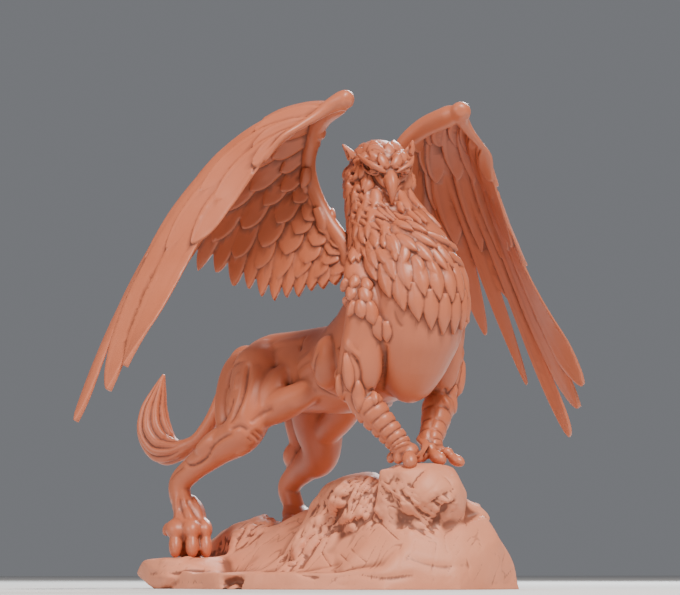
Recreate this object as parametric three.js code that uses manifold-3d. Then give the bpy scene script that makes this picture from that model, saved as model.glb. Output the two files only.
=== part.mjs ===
// Griffin statue: an eagle-headed, winged lion that stands with its fore talons on a rock.
// The figure is one casting, and the rock that carries it is a second piece. Millimetres, +Z up.
// The griffin looks along -Y, its left side is +X, and the origin is under the rock, on its flat underside.
import * as THREE from "three";
import { ConvexGeometry } from "three/addons/geometries/ConvexGeometry.js";
import { mergeVertices } from "three/addons/utils/BufferGeometryUtils.js";
import Module from "manifold-3d";

const wasm = await Module();
wasm.setup();
const { Manifold } = wasm;

// Driving dimensions. The statue's height runs from the ground to the wrists of its raised wings.
const STATUE_HEIGHT = 289;
const ROCK_LENGTH = 268;
const ROCK_WIDTH = 180;
const ROCK_EDGE_HEIGHT = 9;
const SEAT_GAP = 0.3;
const FEATHER_THICKNESS = 2.2;
const FEATHER_RELIEF = 2.0;
const BIB_RELIEF = 2.2;

// The griffin's pose and carving are drawn in units, with this many of them to the statue's height.
const UNITS_HIGH = 289;
const UNIT = STATUE_HEIGHT / UNITS_HIGH;
const UP = new THREE.Vector3(0, 0, 1);
const RIGHT = -1;
const LEFT = 1;

const at = (x, y, z) => new THREE.Vector3(x, y, z).multiplyScalar(UNIT);
const between = (a, b, share) => a.clone().lerp(b, share);

// The height of each sole, which the rock's seats follow.
const FORE_SOLE = 73 * UNIT;
const REAR_RIGHT_SOLE = 19 * UNIT;
const REAR_LEFT_SOLE = 29 * UNIT;
const FORE_FEET = { [RIGHT]: at(-14, -86, 79), [LEFT]: at(13, -82, 79) };
const REAR_FEET = { [RIGHT]: at(-50, 76, 27), [LEFT]: at(28, 66, 36) };

// A closed solid from points and triangles, turned so that its faces point out.
function closedSolid(points, triangles) {
  let volume = 0;
  for (let i = 0; i < triangles.length; i += 3) {
    const [a, b, c] = [0, 1, 2].map((k) => points[triangles[i + k]]);
    volume += a.dot(b.clone().cross(c));
  }
  if (volume < 0) triangles.reverse();
  return new Manifold(
    new wasm.Mesh({
      numProp: 3,
      vertProperties: new Float32Array(points.flatMap((p) => [p.x, p.y, p.z])),
      triVerts: new Uint32Array(triangles),
    }),
  );
}

// A three.js geometry as a solid.
function solidOf(geometry) {
  geometry.deleteAttribute("normal");
  geometry.deleteAttribute("uv");
  const merged = mergeVertices(geometry, 1e-4);
  const spot = merged.attributes.position;
  const points = Array.from({ length: spot.count }, (_, i) =>
    new THREE.Vector3().fromBufferAttribute(spot, i),
  );
  return closedSolid(points, Array.from(merged.index.array));
}

// A skin over rings of points, closed by a point at each end.
function skin(rings, start, end) {
  const sides = rings[0].length;
  const points = [start, ...rings.flat(), end];
  const last = points.length - 1;
  const triangles = [];
  for (let k = 0; k < sides; k++) {
    const next = (k + 1) % sides;
    triangles.push(0, 1 + next, 1 + k);
    for (let r = 0; r + 1 < rings.length; r++) {
      const a = 1 + r * sides + k;
      const b = 1 + r * sides + next;
      triangles.push(a, b, b + sides, a, b + sides, a + sides);
    }
    const low = 1 + (rings.length - 1) * sides;
    triangles.push(low + k, low + next, last);
  }
  return closedSolid(points, triangles);
}

const curveThrough = (points) => new THREE.CatmullRomCurve3(points, false, "centripetal");

// A value at a share of the way along a list, between the two stations that it falls between.
function valueAt(values, share) {
  const place = share * (values.length - 1);
  const low = Math.min(Math.floor(place), values.length - 2);
  return THREE.MathUtils.lerp(values[low], values[low + 1], place - low);
}

// The oval section of a limb at a share of its length: its centre, and its half axes as vectors.
function sectionAt(limb, share) {
  const centre = limb.curve.getPoint(share);
  const along = limb.curve.getTangent(share);
  const across = limb.side.clone().addScaledVector(along, -limb.side.dot(along)).normalize();
  const deep = along.clone().cross(across);
  return {
    centre,
    across: across.multiplyScalar(valueAt(limb.wide, share)),
    deep: deep.multiplyScalar(valueAt(limb.deep, share)),
  };
}

// A limb: ovals along a curve through its joints, given by their half widths at each joint.
function limbOf(joints, wide, deep, side) {
  return {
    curve: curveThrough(joints),
    wide: wide.map((w) => w * UNIT),
    deep: deep.map((d) => d * UNIT),
    side,
  };
}

function limbSolid(limb, sides, steps, swell = () => 1) {
  const rings = [];
  for (let i = 0; i <= steps; i++) {
    const { centre, across, deep } = sectionAt(limb, i / steps);
    const size = swell(i);
    rings.push(
      Array.from({ length: sides }, (_, k) => {
        const turn = (2 * Math.PI * k) / sides;
        return centre
          .clone()
          .addScaledVector(across, size * Math.cos(turn))
          .addScaledVector(deep, size * Math.sin(turn));
      }),
    );
  }
  return skin(rings, limb.curve.getPoint(0), limb.curve.getPoint(1));
}

// A muscle: an egg from one end to the other, with its half width and its half thickness towards out.
const MUSCLE_SIDES = 6;
const MUSCLE_RINGS = 4;

function muscle(from, to, width, thickness, out, sides = MUSCLE_SIDES, rings = MUSCLE_RINGS) {
  const along = to.clone().sub(from);
  const half = along.length() / 2;
  along.normalize();
  const across = out.clone().cross(along).normalize();
  const facing = along.clone().cross(across);
  const basis = new THREE.Matrix4().makeBasis(
    across.multiplyScalar(width * UNIT),
    along.multiplyScalar(half),
    facing.multiplyScalar(thickness * UNIT),
  );
  const egg = new THREE.SphereGeometry(1, sides, rings);
  egg.applyMatrix4(basis.setPosition(between(from, to, 0.5)));
  return solidOf(egg);
}

// A short feather or scale: a leaf with a ridge down its face, laid on a surface.
function leaf(root, tip, width, height, out) {
  const along = tip.clone().sub(root).normalize();
  const across = out.clone().cross(along).normalize().multiplyScalar(width * UNIT);
  const middle = between(root, tip, 0.5);
  const ridge = middle.clone().addScaledVector(out, height * UNIT);
  const buried = middle.clone().addScaledVector(out, -height * UNIT);
  const points = [root, middle.clone().add(across), tip, middle.clone().sub(across), ridge, buried];
  const triangles = [];
  for (let k = 0; k < 4; k++) {
    const next = (k + 1) % 4;
    triangles.push(k, next, 4, next, k, 5);
  }
  return closedSolid(points, triangles);
}

// Trunk: the barrel from the breast back to the rump, as ovals along the spine.
const trunk = limbOf(
  [at(0, -95, 153), at(0, -79, 148), at(0, -58, 147), at(0, -36, 138), at(0, -14, 131.5), at(0, 8, 131),
    at(0, 30, 131), at(-0.5, 52, 131), at(-1, 70, 132.5), at(-1.5, 81, 136)],
  [12, 24, 30, 27, 24, 21, 20, 22, 19, 7],
  [17, 33, 37, 32, 27.5, 26, 25, 24.5, 20, 8],
  new THREE.Vector3(1, 0, 0),
);

// Neck and breast: ovals from the nape down to the lowest point of the keel.
const breast = limbOf(
  [at(0, -48.5, 250), at(0, -49.5, 237), at(0, -53.5, 220), at(0, -61.5, 202.5), at(0, -72.5, 185.5),
    at(0, -78, 167.5), at(0, -78, 151), at(0, -76, 138.5), at(0, -74.5, 127), at(0, -72.5, 116),
    at(0, -70.5, 109.5)],
  [15, 20.5, 21.5, 26, 29.5, 30, 28, 25, 20, 13.5, 5],
  [15, 19.5, 22.5, 27, 31.5, 33, 30, 26, 21, 13.5, 5],
  new THREE.Vector3(1, 0, 0),
);

// Rows of leaf feathers are carved round the neck and breast, like shingles: each row starts low, under the
// row above it, and ends high in a row of points that stagger with the next. Below the last row it is smooth.
const BIB_FEATHERS = 13;
const BIB_ROW_ENDS = [0.13, 0.22, 0.31, 0.41, 0.52, 0.63];
const BIB_POINT = 0.025;
const BIB_STEP = 0.004;
const BIB_TOP = 0.03;
const KEEL_RINGS = [0.72, 0.81, 0.9, 0.96];

function breastSolid() {
  const sides = 2 * BIB_FEATHERS;
  const ring = (shareAt, heightAt) =>
    Array.from({ length: sides }, (_, k) => {
      const { centre, across, deep } = sectionAt(breast, shareAt(k));
      const turn = (2 * Math.PI * k) / sides;
      const out = across.multiplyScalar(Math.cos(turn)).addScaledVector(deep, Math.sin(turn));
      return centre.add(out).addScaledVector(out.normalize(), heightAt(k));
    });
  const rings = [ring(() => BIB_TOP, () => 0)];
  BIB_ROW_ENDS.forEach((end, row) => {
    const isRidge = (k) => (k + row) % 2 === 0;
    const edge = (k) => end + (isRidge(k) ? BIB_POINT : -BIB_POINT);
    rings.push(ring(edge, (k) => (isRidge(k) ? BIB_RELIEF : 0.6 * BIB_RELIEF)));
    rings.push(ring((k) => edge(k) + BIB_STEP, (k) => (isRidge(k) ? -0.1 * BIB_RELIEF : 0.1 * BIB_RELIEF)));
  });
  for (const share of KEEL_RINGS) rings.push(ring(() => share, () => 0));
  return skin(rings, breast.curve.getPoint(0), breast.curve.getPoint(1));
}

// Head: drawn in its own frame (left, forward, up) from the middle of the skull, then turned and bowed.
const HEAD_CENTRE = at(0, -48.5, 246.5);
const HEAD_TURN = THREE.MathUtils.degToRad(24);
const HEAD_BOW = THREE.MathUtils.degToRad(25);
const heading = new THREE.Vector3(-Math.sin(HEAD_TURN), -Math.cos(HEAD_TURN), 0);
const headLeft = new THREE.Vector3(Math.cos(HEAD_TURN), -Math.sin(HEAD_TURN), 0);
const headForward = heading
  .clone()
  .multiplyScalar(Math.cos(HEAD_BOW))
  .addScaledVector(UP, -Math.sin(HEAD_BOW));
const headUp = heading
  .clone()
  .multiplyScalar(Math.sin(HEAD_BOW))
  .addScaledVector(UP, Math.cos(HEAD_BOW));
const inHead = (left, forward, up) =>
  HEAD_CENTRE.clone()
    .addScaledVector(headLeft, left * UNIT)
    .addScaledVector(headForward, forward * UNIT)
    .addScaledVector(headUp, up * UNIT);

function head() {
  const skull = limbOf(
    [inHead(0, -18, -4), inHead(0, -13, 0), inHead(0, -4, 0.5), inHead(0, 5, 0), inHead(0, 12, -1),
      inHead(0, 18, 0), inHead(0, 22, 1)],
    [6, 14.5, 17.5, 17, 13.5, 8, 5],
    [6, 14.5, 16.5, 15.5, 12.5, 9.5, 7],
    headLeft,
  );
  const beak = limbOf(
    [inHead(0, 15, 1), inHead(0, 21, 2), inHead(0, 27, 0.5), inHead(0, 31, -4.5), inHead(0, 31.5, -13)],
    [6, 5.2, 4.2, 2.6, 0.5],
    [8.5, 7.5, 6, 3.6, 0.6],
    headLeft,
  );
  const jaw = limbOf(
    [inHead(0, 10, -9), inHead(0, 18, -8), inHead(0, 26, -8)],
    [8, 5, 1.4],
    [4, 3, 1],
    headLeft,
  );
  const parts = [limbSolid(skull, 10, 6), limbSolid(beak, 6, 5), limbSolid(jaw, 6, 2)];
  for (const side of [RIGHT, LEFT]) {
    const out = headLeft.clone().multiplyScalar(side);
    parts.push(
      muscle(inHead(side * 4, 20, 5), inHead(side * 16, 5, 12), 5, 3.6, headUp), // brow
      muscle(inHead(side * 8.2, 14.5, 4), inHead(side * 12.5, 10.5, 4.5), 3.2, 3, out), // eye
      muscle(inHead(side * 7, 16, -4), inHead(side * 18, 0, -8), 7, 5, out), // cheek
      muscle(inHead(side * 14, -2, 2), inHead(side * 18, -6, -14), 5.5, 4.5, out), // ruff
      leaf(inHead(side * 15, -2, 1), inHead(side * 22, -3, 14), 3.8, 3, headForward), // ear
    );
  }
  return parts;
}

// Foreleg: a feathered upper arm, a scaled forearm in rings, and an eagle's foot.
const SHOULDER = (side) => at(side * 25.5, -71, 162);
const ELBOWS = { [RIGHT]: at(-31, -62, 115), [LEFT]: at(35.5, -60.5, 116) };
const WRISTS = { [RIGHT]: at(-15, -83, 84), [LEFT]: at(13, -78, 85) };
const FOREARM_BANDS = 6;
const BAND_SWELL = 1.08;
const BAND_WAIST = 0.97;

// Toes fan out from the foot, in degrees from the foot's own heading. The last is the hind toe.
const TALONS = [
  { angle: -42, length: 15 },
  { angle: 0, length: 17 },
  { angle: 42, length: 15 },
  { angle: 180, length: 12 },
];
const TALON_WIDTHS = [3.2, 4, 3.6, 1.2];
const KNUCKLE_HEIGHT = 6.6 * UNIT;
const CLAW_HEIGHT = 2.2 * UNIT;

// The foot's heading turns from -Y towards +X.
function talons(foot, sole, heading) {
  return TALONS.map(({ angle, length }) => {
    const way = THREE.MathUtils.degToRad(angle + heading);
    const out = new THREE.Vector3(Math.sin(way), -Math.cos(way), 0);
    const knuckle = foot.clone().addScaledVector(out, 0.5 * length * UNIT);
    const tip = foot.clone().addScaledVector(out, length * UNIT);
    knuckle.z = sole + KNUCKLE_HEIGHT;
    tip.z = sole + CLAW_HEIGHT;
    const joints = [foot, knuckle, between(knuckle, tip, 0.6), tip];
    return limbSolid(limbOf(joints, TALON_WIDTHS, TALON_WIDTHS, out.cross(UP)), 6, 3);
  });
}

function foreleg(side) {
  const shoulder = SHOULDER(side);
  const elbow = ELBOWS[side];
  const wrist = WRISTS[side];
  const foot = FORE_FEET[side];
  const out = new THREE.Vector3(side, 0, 0);
  const upper = limbOf(
    [at(side * 14, -51, 192.5), at(side * 22, -62.5, 180), shoulder, between(shoulder, elbow, 0.55), elbow,
      elbow.clone().add(at(0, 4, -5))],
    [8, 11, 13, 12, 9.5, 5],
    [12, 16, 16, 14, 10.5, 5],
    new THREE.Vector3(0, 1, 0),
  );
  const lower = limbOf(
    [elbow.clone().add(at(0, 2, 4)), between(elbow, wrist, 0.3), between(elbow, wrist, 0.7), wrist, foot],
    [8, 9.2, 7.6, 6.6, 6],
    [8, 9.6, 7.8, 6.6, 5],
    out,
  );
  const isBanded = (i) => i > 1 && i < 2 * FOREARM_BANDS;
  const banded = (i) => (isBanded(i) ? (i % 2 ? BAND_SWELL : BAND_WAIST) : 1);
  const bicepsEnd = between(elbow, wrist, 0.16).add(at(side * 1, -5, 2));
  const tricepsEnd = elbow.clone().add(at(side * 1, 6, -3));
  const forearmBelly = between(elbow, wrist, 0.45).add(at(side * 4, 4, -2));
  return [
    limbSolid(upper, 8, 7),
    limbSolid(lower, 8, 2 * FOREARM_BANDS, banded),
    muscle(between(shoulder, elbow, -0.4).add(at(side * 3, 2, 2)), bicepsEnd, 10, 12, out), // upper arm
    muscle(between(shoulder, elbow, 0.3).add(at(side * 2, 8, 0)), tricepsEnd, 6, 9, out), // triceps
    muscle(elbow.clone().add(at(side * 3, 3, 6)), forearmBelly, 5, 7, out), // forearm
    muscle(at(side * 24, -29, 147), at(side * 22, -24, 113), 8.5, 7, out), // flank, behind the elbow
    muscle(foot.clone().add(at(0, 6, 3)), foot.clone().add(at(0, -7, -3)), 7.5, 5, UP), // palm
    ...talons(foot, FORE_SOLE, side === RIGHT ? -28 : -8),
  ];
}

// Hind leg: a lion's, with thigh, calf, hock and paw.
const HIPS = { [RIGHT]: at(-20, 46, 134), [LEFT]: at(20, 44, 134) };
const KNEES = { [RIGHT]: at(-37, 36, 96), [LEFT]: at(25, 43, 83) };
const HOCKS = { [RIGHT]: at(-50, 86, 66), [LEFT]: at(27, 78, 64) };

// The toes of a paw, from its middle.
const PAW_TOES = [
  { right: -12, front: 5 },
  { right: -4.2, front: 9 },
  { right: 4.2, front: 9 },
  { right: 12, front: 5 },
];

function paw(foot, sole, heading) {
  const way = THREE.MathUtils.degToRad(heading);
  const forward = new THREE.Vector3(Math.sin(way), -Math.cos(way), 0);
  const across = forward.clone().cross(UP);
  const spot = (right, front, up) => {
    const p = foot.clone().addScaledVector(across, right * UNIT).addScaledVector(forward, front * UNIT);
    p.z = sole + up * UNIT;
    return p;
  };
  const toes = PAW_TOES.map(({ right, front }) =>
    muscle(spot(right * 0.8, front - 6, 21), spot(right * 1.05, front + 5, -2), 4.8, 6, forward, 7, 5),
  );
  return [muscle(spot(0, -11, 12), spot(0, 11, 11), 15, 11, UP), ...toes];
}

function hindleg(side) {
  const hip = HIPS[side];
  const knee = KNEES[side];
  const hock = HOCKS[side];
  const foot = REAR_FEET[side];
  const sole = side === RIGHT ? REAR_RIGHT_SOLE : REAR_LEFT_SOLE;
  const out = new THREE.Vector3(side, 0, 0);
  const heel = between(hock, foot, 0.08);
  const leg = limbOf(
    [hip, between(hip, knee, 0.5), knee, between(knee, hock, 0.4), between(knee, hock, 0.8), heel,
      between(hock, foot, 0.5), foot],
    [14, 14, 11, 8.5, 6.5, 6.4, 6.4, 9.5],
    [18, 18, 14, 10, 8, 7.5, 6.5, 8],
    out,
  );
  const nearHip = (x, y, z) => hip.clone().add(at(side * x, y, z));
  const nearKnee = (x, y, z) => knee.clone().add(at(side * x, y, z));
  const rumpEnd = between(hip, knee, 0.55).add(at(side * 2, 14, 0));
  const calfEnd = between(knee, hock, 0.7).add(at(side * 2, 0, 3));
  return [
    limbSolid(leg, 8, 10),
    muscle(nearHip(-3, 0, 18), nearKnee(1, -4, -3), 13, 14, out), // thigh
    muscle(nearHip(0, 24, 10), nearKnee(2, 18, -6), 9, 9, out), // back of thigh
    muscle(nearHip(-8, 24, 16), rumpEnd, 9, 12, out), // rump
    muscle(nearHip(-2, -26, 0), nearKnee(-1, -6, 4), 9, 8, out), // flank fold
    muscle(nearKnee(2, 9, 2), calfEnd, 7, 8, out), // calf
    ...paw(foot, sole, side === RIGHT ? -34 : -6),
  ];
}

// Tail: it hangs behind the rump, then sweeps back and up into a tuft of long locks.
const TUFT_LOCKS = 6;
const TUFT_SPREAD = 5;

function tail() {
  const joints = [at(-1, 72, 139), at(-2, 85.5, 142), at(-5, 92.5, 133), at(-9, 98, 117), at(-14, 104, 101.5),
    at(-19, 112, 90.5), at(-25, 124, 85.5)];
  const across = new THREE.Vector3(1, 0, 0);
  const stemWidths = [9, 7, 5.6, 4.8, 4.5, 4.5, 5.2];
  const lockWidths = [3, 5, 4.8, 3.2, 0.6];
  const locks = Array.from({ length: TUFT_LOCKS }, (_, i) => {
    const turn = (2 * Math.PI * i) / TUFT_LOCKS;
    const swing = at(TUFT_SPREAD * Math.cos(turn), TUFT_SPREAD * Math.sin(turn), 0);
    const bends = [at(-23, 121, 86), at(-27, 136, 85).addScaledVector(swing, 0.5),
      at(-28, 142.5, 97).add(swing), at(-27, 142, 114).addScaledVector(swing, 0.6), at(-26, 136, 132.5)];
    return limbSolid(limbOf(bends, lockWidths, lockWidths, across), 5, 5);
  });
  return [limbSolid(limbOf(joints, stemWidths, stemWidths, across), 7, 9), ...locks];
}

// Wing: ribs run from the arm bone to the hem. Each has a root, a middle and a tip, drawn for the left wing,
// from the innermost feather by the back to the leading feather of the hand.
const WING_RIBS = [
  [[20, -40, 200], [24, -40.5, 190.5], [27, -42.5, 179]],
  [[25, -29, 217], [32, -26, 198], [38, -26.5, 174]],
  [[30, -21, 236], [42, -12, 207], [50, -11, 170]],
  [[33, -20, 251], [53, 0, 220], [62, 6.5, 178]],
  [[34, -26, 265], [63, 6, 236.5], [76.5, 32.5, 190]],
  [[38.5, -40, 275.5], [76, 5, 251], [106.5, 36.5, 181]],
  [[42, -59, 281], [85.5, -6, 252], [137, 23.5, 161.5]],
  [[50, -63, 279.5], [100.5, -12.5, 242], [163.5, 9.5, 127.5]],
  [[58, -60, 273.5], [115, -17, 226.5], [187, -5, 95]],
  [[68, -57.5, 267], [117.5, -26, 216], [177.5, -24.5, 112.5]],
  [[78.5, -54.5, 260], [117.5, -36.5, 204.5], [171.5, -37, 131]],
];
const LAST_RIB = WING_RIBS.length - 1;
const WRIST_RIB = 6;
const wingLines = [0, 1, 2].map((k) => curveThrough(WING_RIBS.map((rib) => at(...rib[k]))));

// A point of the wing's middle surface. rib counts from 0 to LAST_RIB, reach from the bone, 0, to the hem, 1.
function onWing(side, rib, reach) {
  const share = THREE.MathUtils.clamp(rib / LAST_RIB, 0, 1);
  const [root, middle, tip] = wingLines.map((line) => line.getPoint(share));
  const pull = middle.multiplyScalar(2).addScaledVector(root, -0.5).addScaledVector(tip, -0.5);
  const point = root
    .multiplyScalar((1 - reach) ** 2)
    .addScaledVector(pull, 2 * reach * (1 - reach))
    .addScaledVector(tip, reach ** 2);
  point.x *= side;
  return point;
}

// The way out of the wing's upper face, from neighbouring points of the surface.
const NEAR_REACH = 0.02;
const NEAR_RIB = 0.2;

function wingOut(side, rib, reach) {
  const along = onWing(side, rib, reach + NEAR_REACH).sub(onWing(side, rib, reach - NEAR_REACH));
  const low = Math.max(rib - NEAR_RIB, 0);
  const high = Math.min(rib + NEAR_RIB, LAST_RIB);
  const outward = onWing(side, high, reach).sub(onWing(side, low, reach));
  return outward.cross(along).normalize().multiplyScalar(-side);
}

// The feathers of a wing, by the rib that each one follows, from the back to the leading edge. The hand's
// long feathers part into fingers beyond the web. Tiers, hems and notches are shares of a feather's reach.
const SECONDARIES = [0.5, 1.1, 1.7, 2.3, 2.9, 3.6, 4.3, 5.1];
const PRIMARIES = [6, 7, 8, 9, 10];
const FINGER_RIBS = [6, 7, 8, 8.9, 9.7];
const FEATHER_RIBS = [...SECONDARIES, ...PRIMARIES];
const TIER_ENDS = [0.2, 0.42, 0.66];
const TIER_POINT = 0.035;
const TIER_STEP = 0.005;
const WEB_END = 0.93;
const HAND_NOTCH = 0.1;
const HEM_NOTCH = 0.07;
const FINGER = [
  { reach: 0.8, halfWidth: 8.4 },
  { reach: 0.9, halfWidth: 8.4 },
  { reach: 0.965, halfWidth: 6 },
];

// The columns of the carved web: the middle of each feather, and the seams between them.
function webColumns() {
  const columns = [0];
  FEATHER_RIBS.forEach((rib, i) => {
    if (i > 0) columns.push((rib + FEATHER_RIBS[i - 1]) / 2);
    columns.push(rib);
  });
  return columns;
}

// How far the web reaches at a column: feather ends and the notches between them.
function hemReach(rib, isFeather) {
  const primary = rib > SECONDARIES.at(-1);
  if (primary) return isFeather ? WEB_END : WEB_END - HAND_NOTCH;
  return isFeather ? 1 : 1 - HEM_NOTCH;
}

// One face of the web, as rows of points. It is carved in tiers that overlap like shingles.
function webFace(side, facing) {
  const columns = webColumns();
  const row = (reachAt, heightAt) =>
    columns.map((rib, c) => {
      const reach = reachAt(rib, c);
      return onWing(side, rib, reach).addScaledVector(wingOut(side, rib, reach), facing * heightAt(c));
    });
  const low = 0.5 * FEATHER_THICKNESS;
  const high = low + FEATHER_RELIEF;
  const rows = [row(() => 0, () => high)];
  TIER_ENDS.forEach((end, tier) => {
    const isRidge = (c) => (c + tier) % 2 === 0;
    const edge = (rib, c) => end + (isRidge(c) ? TIER_POINT : -TIER_POINT);
    rows.push(row(edge, (c) => (isRidge(c) ? high : high - 0.5 * FEATHER_RELIEF)));
    const pastEdge = (rib, c) => edge(rib, c) + TIER_STEP;
    rows.push(row(pastEdge, (c) => (isRidge(c) ? low : low + 0.3 * FEATHER_RELIEF)));
  });
  const isFeather = (c) => c % 2 === 1;
  const hem = (rib, c) => hemReach(rib, isFeather(c));
  const beforeHem = (rib, c) => (TIER_ENDS.at(-1) + hem(rib, c)) / 2;
  rows.push(row(beforeHem, (c) => (isFeather(c) ? low + 0.3 * FEATHER_RELIEF : 0.6 * low)));
  rows.push(row(hem, () => 0.5 * low));
  return rows;
}

// A thin solid between two faces that are given as rows of points.
function closedSheet(front, back) {
  const rows = front.length;
  const columns = front[0].length;
  const points = [...front.flat(), ...back.flat()];
  const index = (face, r, c) => face * rows * columns + r * columns + c;
  const triangles = [];
  const quad = (a, b, c, d) => triangles.push(a, b, c, a, c, d);
  for (let r = 0; r + 1 < rows; r++) {
    for (let c = 0; c + 1 < columns; c++) {
      quad(index(0, r, c), index(0, r, c + 1), index(0, r + 1, c + 1), index(0, r + 1, c));
      quad(index(1, r + 1, c), index(1, r + 1, c + 1), index(1, r, c + 1), index(1, r, c));
    }
    const last = columns - 1;
    quad(index(1, r, 0), index(0, r, 0), index(0, r + 1, 0), index(1, r + 1, 0));
    quad(index(0, r, last), index(1, r, last), index(1, r + 1, last), index(0, r + 1, last));
  }
  for (let c = 0; c + 1 < columns; c++) {
    const last = rows - 1;
    quad(index(1, 0, c), index(1, 0, c + 1), index(0, 0, c + 1), index(0, 0, c));
    quad(index(0, last, c), index(0, last, c + 1), index(1, last, c + 1), index(1, last, c));
  }
  return closedSolid(points, triangles);
}

// A long feather of the hand: a blade with a ridge on both faces, along one rib.
function finger(side, rib) {
  const rings = FINGER.map(({ reach, halfWidth }) => {
    const middle = onWing(side, rib, reach);
    const out = wingOut(side, rib, reach);
    const along = onWing(side, rib, reach + NEAR_REACH).sub(middle).normalize();
    const across = out.clone().cross(along).multiplyScalar(halfWidth * UNIT);
    const ridge = out.clone().multiplyScalar(0.75 * FEATHER_THICKNESS);
    const edge = out.clone().multiplyScalar(0.25 * FEATHER_THICKNESS);
    return [
      middle.clone().add(across).add(edge),
      middle.clone().add(ridge),
      middle.clone().sub(across).add(edge),
      middle.clone().sub(across).sub(edge),
      middle.clone().sub(ridge),
      middle.clone().add(across).sub(edge),
    ];
  });
  return skin(rings, onWing(side, rib, FINGER[0].reach - NEAR_REACH), onWing(side, rib, 1));
}

function wing(side) {
  const ribRoots = (first, last) =>
    Array.from({ length: last - first + 1 }, (_, i) => onWing(side, first + i, 0));
  const arm = [at(side * 12, -49, 175), at(side * 18, -44, 190), ...ribRoots(0, WRIST_RIB)];
  const armWidths = [8, 7, 5.6, 4.8, 4.6, 4.6, 5, 6, 6.4, 3];
  const hand = [at(side * 41, -73, 282), at(side * 43.5, -69.5, 283), ...ribRoots(WRIST_RIB + 1, LAST_RIB)];
  const handWidths = [3, 6.4, 6, 5, 4, 3, 1.5];
  arm.push(at(side * 43, -70, 284));
  hand.push(onWing(side, LAST_RIB, 0.1));
  return [
    closedSheet(webFace(side, 1), webFace(side, -1)),
    ...FINGER_RIBS.map((rib) => finger(side, rib)),
    limbSolid(limbOf(arm, armWidths, armWidths, new THREE.Vector3(1, 0, 0)), 6, 9),
    limbSolid(limbOf(hand, handWidths, handWidths, new THREE.Vector3(0, 1, 0)), 6, 5),
  ];
}

// Rock: ground that rises in hills from an oval edge, with boulders. Each foot has a flat seat cut in it.
// The hills' places and reaches are drawn in units of the rock's length and width, and their heights in the
// griffin's units, so that they rise with its feet.
const UNITS_LONG = 268;
const UNITS_WIDE = 180;
const ALONG = ROCK_LENGTH / UNITS_LONG;
const ACROSS = ROCK_WIDTH / UNITS_WIDE;
const ROCK_MIDDLE = 3 * ACROSS;
const HILLS = [
  { x: 2, y: -30, height: 68, reachX: 60, reachY: 60 },
  { x: 2, y: -78, height: 58, reachX: 58, reachY: 58 },
  { x: 6, y: 20, height: 50, reachX: 60, reachY: 56 },
  { x: -5, y: 62, height: 47, reachX: 46, reachY: 46 },
  { x: 4, y: 98, height: 36, reachX: 60, reachY: 42 },
  { x: -44, y: 76, height: 22, reachX: 50, reachY: 52 },
  { x: 24, y: -98, height: 47, reachX: 36, reachY: 34 },
  { x: 22, y: -110, height: 22, reachX: 52, reachY: 34 },
];
const GROUND_RINGS = [1, 0.98, 0.9, 0.78, 0.64, 0.5, 0.35, 0.18];
const GROUND_CORNERS = 26;
const GROUND_SEED = 7;
const RIM_WAVE = 0.07;
const ROUGHNESS = 3.2;

// Numbers from 0 to 1 that look random and are the same each time.
function randomNumbers(seed) {
  let state = seed;
  return () => {
    state = (state * 16807) % 2147483647;
    return state / 2147483647;
  };
}

function groundHeight(x, y) {
  const rises = HILLS.map((hill) => {
    const away = Math.hypot((x / ACROSS - hill.x) / hill.reachX, (y / ALONG - hill.y) / hill.reachY);
    return hill.height * UNIT * Math.max(0, Math.cos(0.5 * Math.PI * Math.min(away, 1)));
  });
  return Math.max(ROCK_EDGE_HEIGHT, ...rises);
}

function ground() {
  const random = randomNumbers(GROUND_SEED);
  const rim = Array.from({ length: GROUND_CORNERS }, () => 1 - RIM_WAVE * random());
  const rings = GROUND_RINGS.map((share, level) =>
    Array.from({ length: GROUND_CORNERS }, (_, k) => {
      const sway = level > 1 ? 0.3 * (random() - 0.5) : 0;
      const turn = (2 * Math.PI * (k + sway)) / GROUND_CORNERS;
      const x = ROCK_MIDDLE + 0.5 * ROCK_WIDTH * share * rim[k] * Math.cos(turn);
      const y = 0.5 * ROCK_LENGTH * share * rim[k] * Math.sin(turn);
      const rough = level > 1 ? ROUGHNESS * (random() - 0.5) : 0.5 * ROUGHNESS * random();
      return new THREE.Vector3(x, y, level ? groundHeight(x, y) + rough : 0);
    }),
  );
  const summit = new THREE.Vector3(ROCK_MIDDLE, 0, groundHeight(ROCK_MIDDLE, 0));
  return skin(rings, new THREE.Vector3(ROCK_MIDDLE, 0, 0), summit);
}

// A boulder with a flat top: the hull of points spread over an egg, by the golden angle.
const BOULDER_POINTS = 30;

function boulder(centre, halfX, halfY, low, top, seed) {
  const random = randomNumbers(seed);
  const golden = Math.PI * (3 - Math.sqrt(5));
  const points = Array.from({ length: BOULDER_POINTS }, (_, i) => {
    const rise = (i + 0.5) / BOULDER_POINTS;
    const lean = Math.sqrt(1 - (2 * rise - 1) ** 2) * (0.86 + 0.28 * random());
    const z = THREE.MathUtils.lerp(low, top + 0.25 * (top - low), rise);
    const x = centre.x + halfX * lean * Math.cos(i * golden);
    const y = centre.y + halfY * lean * Math.sin(i * golden);
    return new THREE.Vector3(x, y, Math.min(z, top));
  });
  return solidOf(new ConvexGeometry(points));
}

// A curled lobe with round ends, which grows out of the rock's heart.
function lobe(root, tip, heart, radius) {
  const ball = new THREE.IcosahedronGeometry(radius * UNIT).attributes.position;
  const points = [heart];
  for (let i = 0; i < ball.count; i++) {
    const out = new THREE.Vector3().fromBufferAttribute(ball, i);
    points.push(root.clone().add(out), tip.clone().add(out));
  }
  return solidOf(new ConvexGeometry(points));
}

// The room that is cut free above a seat: it widens upwards.
const SEAT_CORNERS = 9;
const SEAT_FLARE = 1.25;

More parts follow.
